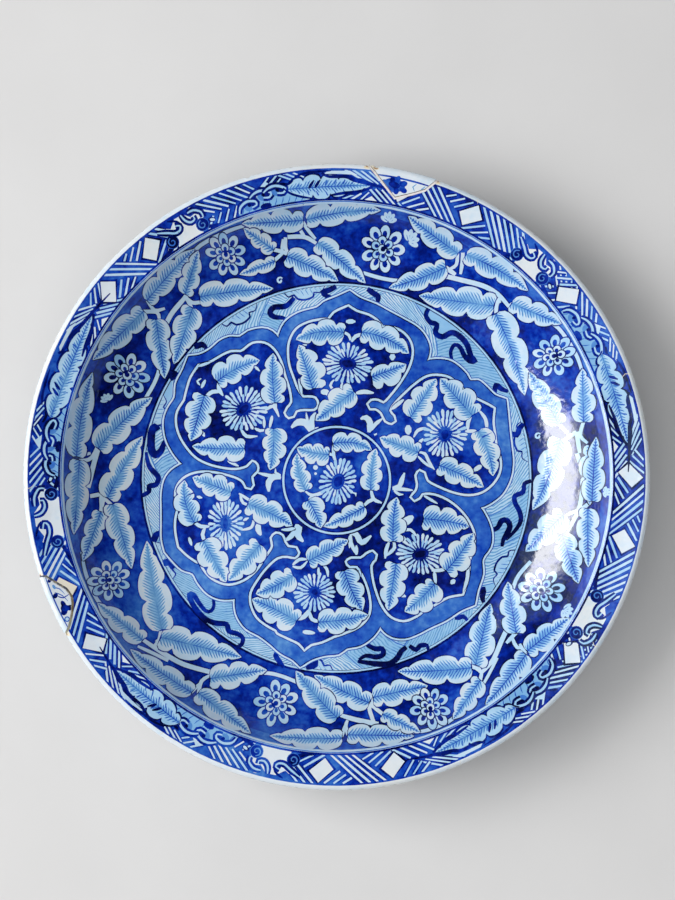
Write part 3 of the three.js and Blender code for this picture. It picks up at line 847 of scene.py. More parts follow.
def draw_cluster(art, arches):
    """Three arching curls over a pale foot, on the way to the next leaf."""
    first, last = arches[0][0], arches[2][0]
    art.fill(around([(first + 2.6, 199.6), (first + 1.6, 205), (first - 2, 209), (last + 1, 210),
                     (last - 2.6, 207), (last - 5.5, 202), (last - 5.6, 199.6),
                     ((first + last) / 2, 199.6)]), 0.2, 0.5)
    for k in range(10):
        degrees = first + 1.8 - (first - last + 6.4) * k / 9
        art.stroke(around([(degrees, 199.8), (degrees - 0.5, 202.6), (degrees - 0.7, 205)]), 0.8, SKY)
    middle = arches[1][0]
    art.fill(ellipse(polar(middle - 0.2, 201.2), 4.2, 2.2, middle + 90, 12), DEEP)
    for number, (degrees, radius) in enumerate(arches):
        arch(art, degrees, radius, number == 0)
    art.stroke(around([(last - 1.4, 211), (last - 2.6, 206.6), (last - 4.6, 203.2), (last - 7.6, 200.6)]),
               1.7, DEEP)
    art.stroke(around([(last - 1.0, 214.6), (last - 2.4, 213), (last - 3.6, 215)]), 2.0, NAVY)


def border_leaf(art, start, tip):
    """The long pointed leaf of the border, with two dark ticks near its foot and stems beyond its tip."""
    foot, point = polar(start, 209.6), polar(tip, 210.8)
    dx, dy = point[0] - foot[0], point[1] - foot[1]
    turn = math.degrees(math.atan2(dy, dx))
    leaf(art, foot, point, 8.8, bend=0.8, lobes=5, green=0.7, outline=1.7, foot=0.0, ground=0.1)
    for k in range(7):
        along = 0.14 + 0.105 * k
        wide = 6.6 * math.sin(math.pi * along) ** 0.6
        root = (foot[0] + dx * along, foot[1] + dy * along)
        for side in (1, -1):
            near = offset(root, turn + 90 * side, wide * 0.3)
            art.stroke([near, offset(near, turn + 62 * side, wide * 0.6)], 1.0, 0.52, (0.5, 0.9))
    for k in range(2):
        tick = start - 5.0 - 1.2 * k
        art.stroke(around([(tick - 0.7, 213.6), (tick - 0.1, 211), (tick + 0.5, 208.2)]), 2.1, DEEP)
    art.fill(around([(tip + 9.4, 217.6), (tip + 8.6, 219.6), (tip + 4.4, 219.8), (tip + 3.0, 217.2),
                     (tip + 6.4, 217.4)]), MILK)
    art.stroke(around([(tip + 9.8, 218.4), (tip + 8.4, 215.6), (tip + 5.2, 215.6), (tip + 3.6, 213.4),
                       (tip + 0.3, 211.6), (tip - 2.7, 210.4), (tip - 5.4, 209.4)]), 2.4, STEM, (0.7, 0.3))
    art.stroke(around([(tip + 8.4, 202.4), (tip + 5.4, 204.2), (tip + 3.0, 205.4), (tip + 0.9, 207.8),
                       (tip, 210.4)]), 2.2, STEM, (0.5, 0.7))
    art.stroke(around([(start - 2, 217.6), (start - 5, 219.4), (start - 9, 219.6)]), 1.8, DEEP)


def draw_after_gap(art, start, stop, third):
    """Crossed strips between the scrolls and the cluster, round a third diamond if there is one."""
    count = max(2, round((start - stop) / 2.1))
    strips(art, [[(start - 1.2 - 1.9 * k, 199.9), (start - 3.4 - 1.7 * k, 207.5)]
                 for k in range(count)], 1.5)
    strips(art, [[(start - 1.4 - 1.6 * k, 220.4), (start - 5.6 - 1.5 * k, 209.4)]
                 for k in range(count + 2)], 1.5)
    if third:
        strips(art, [[(third - 1.2 - 1.6 * k, 220.4), (third - 5.6 - 1.5 * k, 209.4)]
                     for k in range(4)], 1.5)
        strips(art, [[(third + 2.6 + 1.3 * k, 211.5 + 1.6 * k), (third + 0.4 + 1.5 * k, 220.2)]
                     for k in range(3)], 1.5)
        diamond(art, third)
    strips(art, [[(stop - 3.2 - 1.5 * k, 214.4), (stop - 5.2 - 1.5 * k, 220.4)] for k in range(3)], 1.4)
    strips(art, [[(stop - 7.0 - 1.4 * k, 220.4), (stop - 9.4 - 1.4 * k, 215.6)] for k in range(3)], 1.4)
    art.fill(around([(stop - 4.4, 217.8), (stop - 5.6, 213.6), (stop - 2.8, 213.6)]), MILK)


def draw_border(art):
    """The rim's border: five stretches of crossed bars, diamonds, scrolls and a pointed leaf."""
    art.circle(BORDER[1] + 0.2, BORDER_GROUND)
    for unit in RIM:
        first, second = unit["diamonds"]
        middle, reach = unit["gap"]
        tip = unit["leaf"][1]
        beside_diamond(art, first, above=False)
        beside_diamond(art, second)
        bundle(art, first - 5.0, second + 3.6)
        bundle(art, second - 4.6, middle + reach - 2.2)
        crossing(art, tip, first)
        diamond(art, first)
        diamond(art, second)
        draw_after_gap(art, middle - reach + 2.4, unit["arches"][0][0], unit["third"])
        draw_gap(art, middle, reach)
    for unit in RIM:
        draw_cluster(art, unit["arches"])
        border_leaf(art, *unit["leaf"])


def ring_lines(art):
    """The lines that close the border, and the white lip outside them."""
    art.ring(BORDER[1] + 0.3, 1.2, BAR, steps=120)
    art.band([(polar(3 * k, BORDER[1] + 0.9), polar(3 * k, LIP + 2)) for k in range(121)], BARE)
    art.ring(CAVETTO + 1.0, 2.6, MILK, steps=120)
    art.ring(CAVETTO + 1.3, 0.7, SKY, steps=120)
    art.ring(BORDER[0], 1.5, 0.82, steps=120)


def draw_wear(art):
    """Old stains and hairline cracks on the rim. Each crack runs in from the lip."""
    stained = RIM[3]["diamonds"][1]
    art.fill(around([(stained + a, DIAMOND_MIDDLE + r) for a, r in DIAMOND]), BARE, stain=0.3)
    for line in (UPPER_BREAK, LEFT_BREAK):
        for degrees, radius in (line[0], line[-1]):
            art.fill(ellipse(polar(degrees, radius - 2.4), 2.4, 1.2, degrees + 90, 12), BARE, stain=0.45)
            art.fill(ellipse(polar(degrees, radius - 1.6), 1.1, 0.7, degrees + 90, 10), BARE, stain=0.8)
    for line in (
        ((326.2, 224), (325.9, 221), (326.4, 218.6)), ((181.5, 224), (181.9, 220.6), (181.2, 217)),
        ((107.2, 224), (106.8, 221.6)), ((62.4, 223.6), (62.0, 220.4)), ((292.6, 224), (292.9, 221.4)),
        ((18.3, 223.8), (18.8, 219.6), (18.2, 216.4)), ((235.1, 224), (235.6, 221)),
    ):
        art.stroke(around(line), 0.45, 0.1, spacing=2, stain=0.5)


def dish_drawing():
    """Everything painted on the dish's face, out to its lip."""
    art = Drawing([polar(2 * k, LIP) for k in range(180)])
    draw_border(art)
    draw_cavetto(art)
    ring_lines(art)
    draw_wear(art)
    draw_medallion(art)
    return art


def on_piece(line, share, depth):
    """A spot on a rim piece: its share of the way along the lip, and how far in from the lip."""
    start, stop = line[0][0], line[-1][0]
    return polar(start + share * (stop - start), LIP - depth)


def upper_drawing():
    """The upper mend comes from another dish: a wide white lip, a slate line and a watery flower."""
    art = Drawing(None)
    art.stroke([on_piece(UPPER_BREAK, share, 6.8) for share in (0, 0.3, 0.6, 0.9, 1.1)], 1.3, 0.62)
    heart = on_piece(UPPER_BREAK, 0.58, 12)
    art.fill(ellipse(heart, 8, 4.6, -14, 20), 0.56)
    for turn, reach, long, short, blue in (
        (166, 6.5, 3.4, 2.4, 0.5), (110, 3.4, 2.4, 1.9, 0.74), (56, 4.6, 2.6, 1.9, 0.6),
        (5, 6.6, 3.0, 2.1, 0.76), (-30, 7.4, 3.0, 2.0, 0.66), (-75, 4.0, 2.8, 2.2, 0.74),
        (-128, 4.6, 2.8, 2.2, 0.6),
    ):
        petal = offset(heart, turn, reach)
        art.fill(ellipse(petal, long, short, turn, 12), blue)
    art.fill(ellipse(heart, 4.4, 2.2, -20, 14), 0.8)
    for share, green in ((0.27, 0.9), (0.14, 0.4)):
        stalk = [on_piece(UPPER_BREAK, share + 0.04 * k * (2 - k), 8 + 2.6 * k) for k in range(3)]
        art.stroke(stalk, 1.1, 0.32, green=green)
    art.fill(ellipse(on_piece(UPPER_BREAK, 0.9, 2.2), 3.6, 1.8, 172, 14), BARE, stain=0.34)
    art.fill(ellipse(on_piece(UPPER_BREAK, 0.88, 2), 1.8, 1.0, 172, 12), BARE, stain=0.95)
    return art


def left_drawing():
    """The left mend: white, with a cobalt star, round buds and thin dark stalks."""
    art = Drawing(None)
    art.stroke([on_piece(LEFT_BREAK, share, 4.7) for share in (0, 0.3, 0.6, 0.9, 1.1)], 1.0, 0.56)
    for bend, share in ((1.0, 0.3), (1.6, 0.42)):
        stalk = [on_piece(LEFT_BREAK, share - 0.06 * bend, 7), on_piece(LEFT_BREAK, share, 11),
                 on_piece(LEFT_BREAK, share + 0.12, 13)]
        art.stroke(stalk, 0.7, 0.6, green=0.5)
    stem = [on_piece(LEFT_BREAK, share, depth) for share, depth in ((0.4, 8), (0.46, 11), (0.44, 16))]
    art.stroke(stem, 0.9, 0.76)
    star = on_piece(LEFT_BREAK, 0.63, 9.5)
    for turn, long, short in ((120, 5.2, 1.7), (5, 5.4, 2.0), (250, 4.6, 2.2), (185, 3.0, 2.4)):
        art.fill(ellipse(offset(star, turn, 0.55 * long), long * 0.62, short, turn, 12), DEEP)
    art.fill(ellipse(star, 2.6, 2.4), COBALT)
    for share, depth, size in ((0.12, 6.6, 1.6), (0.38, 6.6, 2.1)):
        art.fill(ellipse(on_piece(LEFT_BREAK, share, depth), size, size * 0.8, 60, 12), DEEP)
    for size, blue in ((2.0, SKY), (1.2, MILK)):
        art.fill(ellipse(on_piece(LEFT_BREAK, 0.8, 7), size, size), blue)
    art.fill(ellipse(on_piece(LEFT_BREAK, 0.24, 8), 1.8, 1.0, 300, 12), WASH)
    return art


# --- Surfaces ---------------------------------------------------------------------------------
WALL_SWEEP = 2 * math.atan2(CREST_Z - FLOOR_Z, CREST_RADIUS - FLOOR_RADIUS)
WALL_RADIUS = (CREST_RADIUS - FLOOR_RADIUS) / math.sin(WALL_SWEEP)
WALL_CENTRE_Z = FLOOR_Z + WALL_RADIUS
LIP_CENTRE = (LIP - LIP_BEAD, LIP_TOP_Z - LIP_BEAD)


def arc(centre, radius, start, stop, steps):
    """Points on an arc of the profile. The angle is 0 straight down and grows outwards."""
    points = []
    for k in range(steps + 1):
        angle = math.radians(start + (stop - start) * k / steps)
        points.append((centre[0] + radius * math.sin(angle), centre[1] - radius * math.cos(angle)))
    return points


SWEEP = math.degrees(WALL_SWEEP)
# Half sections of the turned surfaces, as radius and height from the axis out to the lip.
TOP_PROFILE = [(0.0, FLOOR_Z - 0.5), (30.0, FLOOR_Z - 0.45), (60.0, FLOOR_Z - 0.3)]
TOP_PROFILE += [(100.0, FLOOR_Z - 0.1)]
TOP_PROFILE += arc((FLOOR_RADIUS, WALL_CENTRE_Z), WALL_RADIUS, 0, SWEEP - 4, 18)
TOP_PROFILE += arc((CREST_RADIUS + CREST_ROUNDING, CREST_Z - 0.4), CREST_ROUNDING, 180 + SWEEP, 180, 6)
TOP_PROFILE += [(CREST_RADIUS + 10, CREST_Z + 3.3), (LIP_CENTRE[0] - 5, LIP_TOP_Z - 1.5)]
TOP_PROFILE += arc(LIP_CENTRE, LIP_BEAD, 188, 90, 10)
UNDER_PROFILE = [
    (0.0, UNDERSIDE_Z), (60.0, UNDERSIDE_Z - 0.3), (FOOT[0] - 3, UNDERSIDE_Z - 0.6),
    (FOOT[0], UNDERSIDE_Z - 2.2), (FOOT_FACE[0] - 1.2, FOOT_BEVEL_Z), (FOOT_FACE[0] - 0.4, 0.4),
    (FOOT_FACE[0], 0.0), (FOOT_FACE[1], 0.0), (FOOT_FACE[1] + 0.6, 0.4),
    (FOOT_FACE[1] + 1.4, FOOT_BEVEL_Z), (FOOT[1], UNDERSIDE_Z - 1.2),
]
UNDER_PROFILE += arc((FLOOR_RADIUS, WALL_CENTRE_Z), WALL_RADIUS + WALL, 2, SWEEP - 4, 18)
UNDER_PROFILE += [(CREST_RADIUS + 9, CREST_Z - 2.9), (LIP_CENTRE[0] - 4, LIP_TOP_Z - 7.6)]
UNDER_PROFILE += arc(LIP_CENTRE, LIP_BEAD, 20, 90, 7)


class Turned:
    """A surface turned from a profile: its height, and which way it faces, at any radius."""

    def __init__(self, profile, upwards):
        self.radii = np.array([p[0] for p in profile])
        self.heights = np.array([p[1] for p in profile])
        runs = np.diff(self.radii)
        rises = np.diff(self.heights)
        sizes = np.hypot(runs, rises)
        facing = np.stack([-rises / sizes, runs / sizes], 1) * (1 if upwards else -1)
        weights = np.minimum(sizes, 4.0)[:, None]
        joint = np.vstack([facing[:1], facing[:-1] * weights[:-1] + facing[1:] * weights[1:], facing[-1:]])
        joint[0] = (0.0, 1.0 if upwards else -1.0)
        joint[-1] = (1.0, 0.0)
        self.facing = joint / np.linalg.norm(joint, axis=1)[:, None]

    def height(self, radius):
        return np.interp(radius, self.radii, self.heights)

    def normal(self, x, y):
        radius = np.hypot(x, y)
        out = np.interp(radius, self.radii, self.facing[:, 0])
        up = np.interp(radius, self.radii, self.facing[:, 1])
        far = np.maximum(radius, 1e-6)
        return np.stack([out * x / far, out * y / far, up], 1)


TOP = Turned(TOP_PROFILE, True)
UNDER = Turned(UNDER_PROFILE, False)


def moved_aside(points, distance):
    """An open line of points moved to its left."""
    return [(p[0] + n[0] * distance, p[1] + n[1] * distance) for p, n in zip(points, sideways(points))]


def ragged(line, spacing, depth, seed):
    """The broken line with the fine unevenness of a fracture."""
    luck = random.Random(seed)
    fine = []
    for a, b in zip(line, line[1:]):
        steps = max(1, round(math.dist(a, b) / spacing))
        for k in range(steps):
            t = k / steps
            wobble = luck.uniform(-depth, depth) if k else 0.0
            fine.append((a[0] + (b[0] - a[0]) * t + wobble, a[1] + (b[1] - a[1]) * t + wobble))
    return fine + [line[-1]]


def signed_area(outline):
    """The area inside an outline: above 0 where it runs anticlockwise."""
    return 0.5 * sum(a[0] * b[1] - b[0] * a[1] for a, b in zip(outline, outline[1:] + outline[:1]))


def is_convex(outline):
    turns = []
    for i, here in enumerate(outline):
        before, after = outline[i - 1], outline[(i + 1) % len(outline)]
        turns.append((here[0] - before[0]) * (after[1] - here[1])
                     - (here[1] - before[1]) * (after[0] - here[0]))
    return min(turns) > -1e-9 or max(turns) < 1e-9


GROUND, CUT = -1, -2  # what an outline belongs to, where it isn't one of the drawing's shapes
SPECK = 0.004  # square millimetres below which a shape isn't worth its triangles
MERGE = 5e-4  # millimetres within which points become one
PLAIN_PAINT = (BARE, 0.0, 0.0, 0.0, 0.0, 0.0, 0.0)


def painted_sheet(drawing, cuts=(), loose=()):
    """Triangulates the drawing over its ground, less the cuts, with some loose points inside it.

    Returns the points, the triangles and the paint at each triangle's corners. Where shapes overlap,
    the last one drawn shows. A shape that covers more than its own area crosses itself, and is left out.
    """
    flat_points, outlines, owners, areas = [], [], [], []

    def take(outline, owner):
        area = signed_area(outline)
        if len(outline) == 4 and not is_convex(outline):
            take([outline[0], outline[1], outline[2]], owner)
            take([outline[0], outline[2], outline[3]], owner)
            return
        if abs(area) < SPECK:
            return
        turned = outline if area > 0 else outline[::-1]
        start = len(flat_points)
        flat_points.extend(Vector(point) for point in turned)
        outlines.append(list(range(start, start + len(outline))))
        owners.append(owner)
        areas.append(abs(area))

    take(drawing.ground, GROUND)
    for number, (outline, _) in enumerate(drawing.shapes):
        take(outline, number)
    for cut in cuts:
        take(cut, CUT)
    flat_points.extend(Vector(point) for point in loose)
    points, _, triangles, _, _, origins = delaunay_2d_cdt(flat_points, [], outlines, 0, MERGE)
    covered = [0.0] * len(outlines)
    for triangle, origin in zip(triangles, origins):
        size = abs(signed_area([points[i] for i in triangle]))
        for number in origin:
            covered[number] += size
    sound = [covered[i] < 1.02 * areas[i] + 0.05 for i in range(len(outlines))]
    kept, paints = [], []
    for triangle, origin in zip(triangles, origins):
        top = max((number for number in origin if sound[number]), default=0)
        if 0 not in origin or owners[top] == CUT:
            continue
        kept.append(triangle)
        if owners[top] == GROUND:
            paints.append((PLAIN_PAINT,) * 3)
            continue
        outline, values = drawing.shapes[owners[top]]
        paints.append(corner_paints(outline, values, [points[i] for i in triangle]))
    return points, kept, paints


def corner_paints(outline, values, corners):
    """The paint of a shape at three places. A veined triangle's paint runs between its corners."""
    if len(outline) != 3 or values[0][1] == 0.0:
        return (values[0],) * 3
    (ax, ay), (bx, by), (cx, cy) = outline
    whole = (bx - ax) * (cy - ay) - (cx - ax) * (by - ay)
    result = []
    for x, y in corners:
        v = ((x - ax) * (cy - ay) - (cx - ax) * (y - ay)) / whole
        w = ((bx - ax) * (y - ay) - (x - ax) * (by - ay)) / whole
        u = 1 - v - w
        result.append(tuple(u * p + v * q + w * r for p, q, r in zip(*values)))
    return tuple(result)


def boundary_loop(points, triangles):
    """The outline of a triangulated area, anticlockwise."""
    following = {}
    edges = {(t[i], t[(i + 1) % 3]) for t in triangles for i in range(3)}
    for a, b in edges:
        if (b, a) not in edges:
            following[a] = b
    start = max(following, key=lambda i: points[i][0])
    loop, here = [start], following[start]
    while here != start and len(loop) <= len(following):
        loop.append(here)
        here = following[here]
    return [tuple(points[i]) for i in loop]


def ring_points(radii, steps):
    """Loose points that let a turned surface curve."""
    found = []
    for number, radius in enumerate(radii):
        for k in range(steps):
            found.append(polar(360 * (k + 0.5 * (number % 2)) / steps, radius))
    return found


BROKEN = (BARE, 0.0, 0.0, 0.42, 0.0, 0.0, 0.0)  # the paint of a broken face: bare and stained
THIN_WALL = 0.01  # millimetres of wall below which two sheets already meet


class Shell:
    """A closed mesh gathered from painted sheets, with a normal, paint and bake place at each corner."""

    def __init__(self):
        self.index = {}
        self.spots = []
        self.faces = []
        self.normals = []
        self.paint = []
        self.places = []

    def spot(self, x, y, z):
        """The number of the vertex at a spot, which is shared by all that meet there."""
        key = (round(x, 3), round(y, 3), round(z, 3))
        if key not in self.index:
            self.index[key] = len(self.spots)
            self.spots.append((x, y, z))
        return self.index[key]

    def add(self, corners, normals, paints, places):
        """A face, unless it has shrunk to a line."""
        ids = [self.spot(*corner) for corner in corners]
        if len(set(ids)) < len(ids):
            return
        self.faces.append(ids)
        self.normals.extend(normals)
        self.paint.extend(paints)
        self.places.extend(places)

    def sheet(self, sheet, turned, drop, place):
        """Lifts a flat sheet onto a turned surface."""
        points, triangles, paints = sheet
        flat = np.array([tuple(p) for p in points])
        heights = turned.height(np.hypot(flat[:, 0], flat[:, 1])) - drop
        normals = turned.normal(flat[:, 0], flat[:, 1])
        upwards = normals[:, 2].mean() > 0
        for triangle, values in zip(triangles, paints):
            order = (0, 1, 2) if upwards else (0, 2, 1)
            corners = [triangle[i] for i in order]
            self.add(
                [(flat[c, 0], flat[c, 1], heights[c]) for c in corners],
                [tuple(normals[c]) for c in corners],
                [values[i] for i in order],
                [place(flat[c, 0], flat[c, 1]) for c in corners],
            )

    def walls(self, loop, top, under, drop, place):
        """Broken faces that join the two sheets where the outline is not the lip itself."""
        for a, b in zip(loop, loop[1:] + loop[:1]):
            dx, dy = b[0] - a[0], b[1] - a[1]
            size = math.hypot(dx, dy)
            facing = (dy / size, -dx / size, 0.0)
            ra, rb = math.hypot(*a), math.hypot(*b)
            za, zb = float(under.height(ra)), float(under.height(rb))
            ta, tb = float(top.height(ra)) - drop, float(top.height(rb)) - drop
            corners = [(*a, za), (*b, zb), (*b, tb), (*a, ta)]
            shut = (ta - za < THIN_WALL, tb - zb < THIN_WALL)
            if all(shut):
                continue
            keep = corners[:2] + ([] if shut[1] else [corners[2]]) + ([] if shut[0] else [corners[3]])
            spots = [place(c[0], c[1]) for c in keep]
            self.add(keep, [facing] * len(keep), [BROKEN] * len(keep), spots)

    def piece(self, name, material, shift=(0.0, 0.0, 0.0)):
        """The finished object, moved by a shift in millimetres."""
        mesh = bpy.data.meshes.new(name)
        spots = [tuple((c + s) * MM for c, s in zip(spot, shift)) for spot in map(worn, self.spots)]
        mesh.from_pydata(spots, [], self.faces)
        paint = np.array(self.paint)
        colour = mesh.attributes.new("paint", "FLOAT_COLOR", "CORNER")
        colour.data.foreach_set("color", paint[:, :4].astype(np.float32).ravel())
        veins = mesh.attributes.new("veins", "FLOAT_VECTOR", "CORNER")
        veins.data.foreach_set("vector", paint[:, 4:].astype(np.float32).ravel())
        layer = mesh.uv_layers.new(name="OFBake")
        layer.data.foreach_set("uv", np.array(self.places, np.float32).ravel())
        mesh.materials.append(material)
        mesh.shade_smooth()
        mesh.normals_split_custom_set(self.normals)
        mesh.update()
        piece = bpy.data.objects.new(name, mesh)
        bpy.context.scene.collection.objects.link(piece)
        return piece


# Small losses on the lip: degrees, how deep they bite and how wide they are.
LIP_NICKS = [(106, 0.8, 4), (181.6, 0.7, 3.4), (44.5, 0.6, 7), (82.1, 1.2, 4.4)]
NICK_REACH = 4  # millimetres in from the lip over which a loss dies away


def worn(spot):
    """The spot, pulled in where the lip has a small loss."""
    x, y, z = spot
    radius = math.hypot(x, y)
    if radius < LIP - NICK_REACH or z < LIP_CENTRE[1] - 2:
        return spot
    degrees = math.degrees(math.atan2(y, x)) % 360
    for angle, depth, width in LIP_NICKS:
        aside = math.radians(degrees - angle) * radius / (width / 2)
        if abs(aside) < 1:
            bite = depth * (1 - aside**2) * min(1.0, (radius - LIP + NICK_REACH) / 3)
            return (x * (1 - bite / radius), y * (1 - bite / radius), z - bite * 0.6)
    return spot


def on_face(x, y):
    """The painted face fills the bake square."""
    return (0.5 + 0.498 * x / LIP, 0.5 + 0.498 * y / LIP)


def on_corner(x, y):
    """The plain underside takes the square's free corner."""
    return (0.0835 + 0.08 * x / LIP, 0.0835 + 0.08 * y / LIP)


# Radii at which the turned surfaces need points of their own to curve.
WALL_RINGS = [FLOOR_RADIUS + 4.5 * k for k in range(16)]
CREST_RINGS = [CREST_RADIUS + d for d in (-1.8, -0.9, 0, 0.8, 1.6, 2.4)]
LIP_RINGS = [LIP - d for d in (8, 6, 4.4, 3.2, 2.2, 1.4, 0.8, 0.35, 0.1)]
FOOT_RINGS = [r for r, _ in UNDER_PROFILE[2:12]]
UNDER_RINGS = [20.0, 40.0, 60.0, 80.0, 100.0, 110.0] + [r for r, _ in UNDER_PROFILE[12:-1]]
# The blue lines round the back: radius, width, and how many steps each is drawn in.
BACK_LINES = [(211, 1.6, 120), (207.4, 0.7, 120), (138, 1.0, 90)]


def build_dish(drawing, material):
    """The dish itself, with the two losses in its rim."""
    cuts = [loss_outline(UPPER_BREAK, GLUE_GAP / 2, 5), loss_outline(LEFT_BREAK, GLUE_GAP / 2, 8)]
    loose = ring_points(WALL_RINGS, 130) + ring_points(CREST_RINGS + LIP_RINGS, 240)
    loose += ring_points([30, 60, 90, 110], 40)
    loose += [polar(angle + k * 0.16, LIP - d) for angle, _, _ in LIP_NICKS for k in range(-6, 7)
              for d in (2.6, 1.4, 0.4)]
    face = painted_sheet(drawing, cuts, loose)
    loop = boundary_loop(face[0], face[1])
    back = painted_sheet(under_drawing(loop), (), ring_points(UNDER_RINGS, 100))
    shell = Shell()
    shell.sheet(face, TOP, 0.0, on_face)
    shell.sheet(back, UNDER, 0.0, on_corner)
    shell.walls(loop, TOP, UNDER, 0.0, on_corner)
    return shell.piece("painted_dish", material)


def loss_outline(line, margin, seed):
    """The outline of a loss in the rim, which runs on well past the lip."""
    inner = ragged(moved_aside(around(line), margin), 1.2, 0.14, seed)
    past = [(1.06 * x, 1.06 * y) for x, y in (inner[0], inner[-1])]
    return past[:1] + inner + past[1:]


def under_drawing(loop):
    """The back: bare glaze with three blue lines, and a foot with an unglazed face."""
    art = Drawing(loop)
    for radius, width, steps in BACK_LINES:
        art.ring(radius, width, SKY, steps=steps)
    for radius in FOOT_RINGS[::-1]:
        clay = 1.0 if FOOT_FACE[0] <= radius <= FOOT_FACE[1] + 0.6 else 0.0
        art.circle(radius, BARE, stain=clay)
    return art


def build_fragment(name, line, seat, drawing, material, seed):
    """A glued-in rim piece: the same rim, cut to the break."""
    inner = ragged(moved_aside(around(line), -GLUE_GAP / 2), 1.2, 0.12, seed)
    drawing.ground = clipped(inner) + [polar(a, LIP) for a in arc_degrees(inner[-1], inner[0])]
    lip = [polar(line[0][0] + k * 0.5, r) for r in LIP_RINGS for k in range(40)]
    face = painted_sheet(drawing, (), lip)
    loop = boundary_loop(face[0], face[1])
    back = painted_sheet(Drawing(loop), (), ring_points([LIP - d for d in (1, 3, 6, 10, 14)], 240))
    left, right = min(p[0] for p in loop), max(p[0] for p in loop)
    low, high = min(p[1] for p in loop), max(p[1] for p in loop)
    size = max(right - left, high - low) + 2

    def place(side):
        return lambda x, y: (0.02 + 0.46 * (x - left) / size + side, 0.02 + 0.9 * (y - low) / size)

    shell = Shell()
    shell.sheet(face, TOP, 0.0, place(0.0))
    shell.sheet(back, UNDER, 0.0, place(0.5))
    shell.walls(loop, TOP, UNDER, 0.0, place(0.5))
    middle = (line[0][0] + line[-1][0]) / 2
    return shell.piece(name, material, (*polar(middle, seat[0]), seat[1]))


def clipped(points):
    """The part of a line inside the lip, with new ends where it meets the lip."""
    inside = []
    for a, b in zip(points, points[1:]):
        ra, rb = math.hypot(*a), math.hypot(*b)
        if ra <= LIP:
            inside.append(a)
        if (ra - LIP) * (rb - LIP) < 0:
            t = (LIP - ra) / (rb - ra)
            inside.append((a[0] + (b[0] - a[0]) * t, a[1] + (b[1] - a[1]) * t))
    return inside


def arc_degrees(start, stop):
    """Even steps along the lip between two break ends."""
    high, low = [math.degrees(math.atan2(y, x)) % 360 for x, y in (start, stop)]
    return [high + (low - high) * k / 16 for k in range(1, 16)]


def build_adhesive(name, line, material, raise_by, seed):
    """The adhesive that fills a break, a little proud of the glaze."""
    half = GLUE_GAP / 2 - 0.03
    middle = around(line)
    outer = clipped_inside(ragged(moved_aside(middle, half), 1.1, 0.1, seed))
    inner = clipped_inside(ragged(moved_aside(middle, -half), 1.1, 0.1, seed + 1))
    ground = outer + inner[::-1]
    face = painted_sheet(Drawing(ground))
    loop = boundary_loop(face[0], face[1])
    back = painted_sheet(Drawing(loop))
    shell = Shell()

    def place(x, y):
        return (0.5 + 0.49 * (x - ground[0][0]) / 60, 0.5 + 0.49 * (y - ground[0][1]) / 60)

    shell.sheet(face, TOP, -raise_by, place)
    shell.sheet(back, UNDER, 0.0, place)
    shell.walls(loop, TOP, UNDER, -raise_by, place)
    return shell.piece(name, material)


def clipped_inside(points):
    """The points of a line that lie clear of the lip's edge."""
    return [p for p in points if math.hypot(*p) < LIP - 0.15]


# --- Materials --------------------------------------------------------------------------------
def light(red, green, blue):
    """A colour given in screen values, as the light it stands for."""
    values = []
    for v in (red, green, blue):
        s = v / 255
        values.append(s / 12.92 if s <= 0.04045 else ((s + 0.055) / 1.055) ** 2.4)
    return (*values, 1.0)


class Shader:
    """A material under construction."""

    def __init__(self, name):
        self.material = bpy.data.materials.new(name)
        self.material.use_nodes = True
        self.tree = self.material.node_tree
        self.surface = self.tree.nodes["Principled BSDF"]

    def node(self, kind, **settings):
        made = self.tree.nodes.new("ShaderNode" + kind)
        for key, value in settings.items():
            setattr(made, key, value)
        return made

    def join(self, source, target):
        if isinstance(source, (int, float, tuple)):
            target.default_value = source
        else:
            self.tree.links.new(source, target)

    def maths(self, operation, first, second=0.0, third=0.0, clamp=False):
        made = self.node("Math", operation=operation, use_clamp=clamp)
        for value, socket in zip((first, second, third), made.inputs):
            self.join(value, socket)
        return made.outputs[0]

    def mix(self, share, first, second):
        made = self.node("Mix", data_type="RGBA")
        self.join(share, made.inputs["Factor"])
        self.join(first, made.inputs[6])
        self.join(second, made.inputs[7])
        return made.outputs[2]

    def ramp(self, value, stops):
        made = self.node("ValToRGB")
        made.color_ramp.interpolation = "LINEAR"
        elements = made.color_ramp.elements
        while len(elements) < len(stops):
            elements.new(0.5)
        for element, (place, colour) in zip(elements, stops):
            element.position = place
            element.color = colour
        self.join(value, made.inputs[0])
        return made.outputs[0]

    def between(self, value, low, high, first=0.0, second=1.0):
        made = self.node("MapRange", interpolation_type="SMOOTHSTEP")
        for socket, number in zip(made.inputs, (value, low, high, first, second)):
            self.join(number, socket)
        return made.outputs[0]

    def cloud(self, scale, detail=3.0, roughness=0.5):
        """Soft noise over the object, at a scale in cells to the metre."""
        made = self.node("TexNoise")
        made.inputs["Scale"].default_value = scale
        made.inputs["Detail"].default_value = detail
        made.inputs["Roughness"].default_value = roughness
        self.join(self.node("TexCoord").outputs["Object"], made.inputs["Vector"])
        return made.outputs["Fac"]

    def bump(self, height, strength, distance):
        made = self.node("Bump")
        made.inputs["Strength"].default_value = strength
        made.inputs["Distance"].default_value = distance
        self.join(height, made.inputs["Height"])
        self.join(made.outputs[0], self.surface.inputs["Normal"])


BLUES = [
    (0.0, light(214, 222, 229)), (0.08, light(175, 208, 232)), (0.16, light(140, 187, 226)),
    (0.3, light(96, 151, 209)), (0.5, light(46, 102, 190)), (0.66, light(18, 66, 172)),
    (0.75, light(3, 39, 152)), (0.86, light(1, 21, 110)), (1.0, light(1, 8, 60)),
]
CREAM = light(226, 214, 184)
CLAY = light(150, 112, 78)
TEAL = light(106, 160, 196)
VEIN_PITCH = 2.3  # millimetres from vein to vein


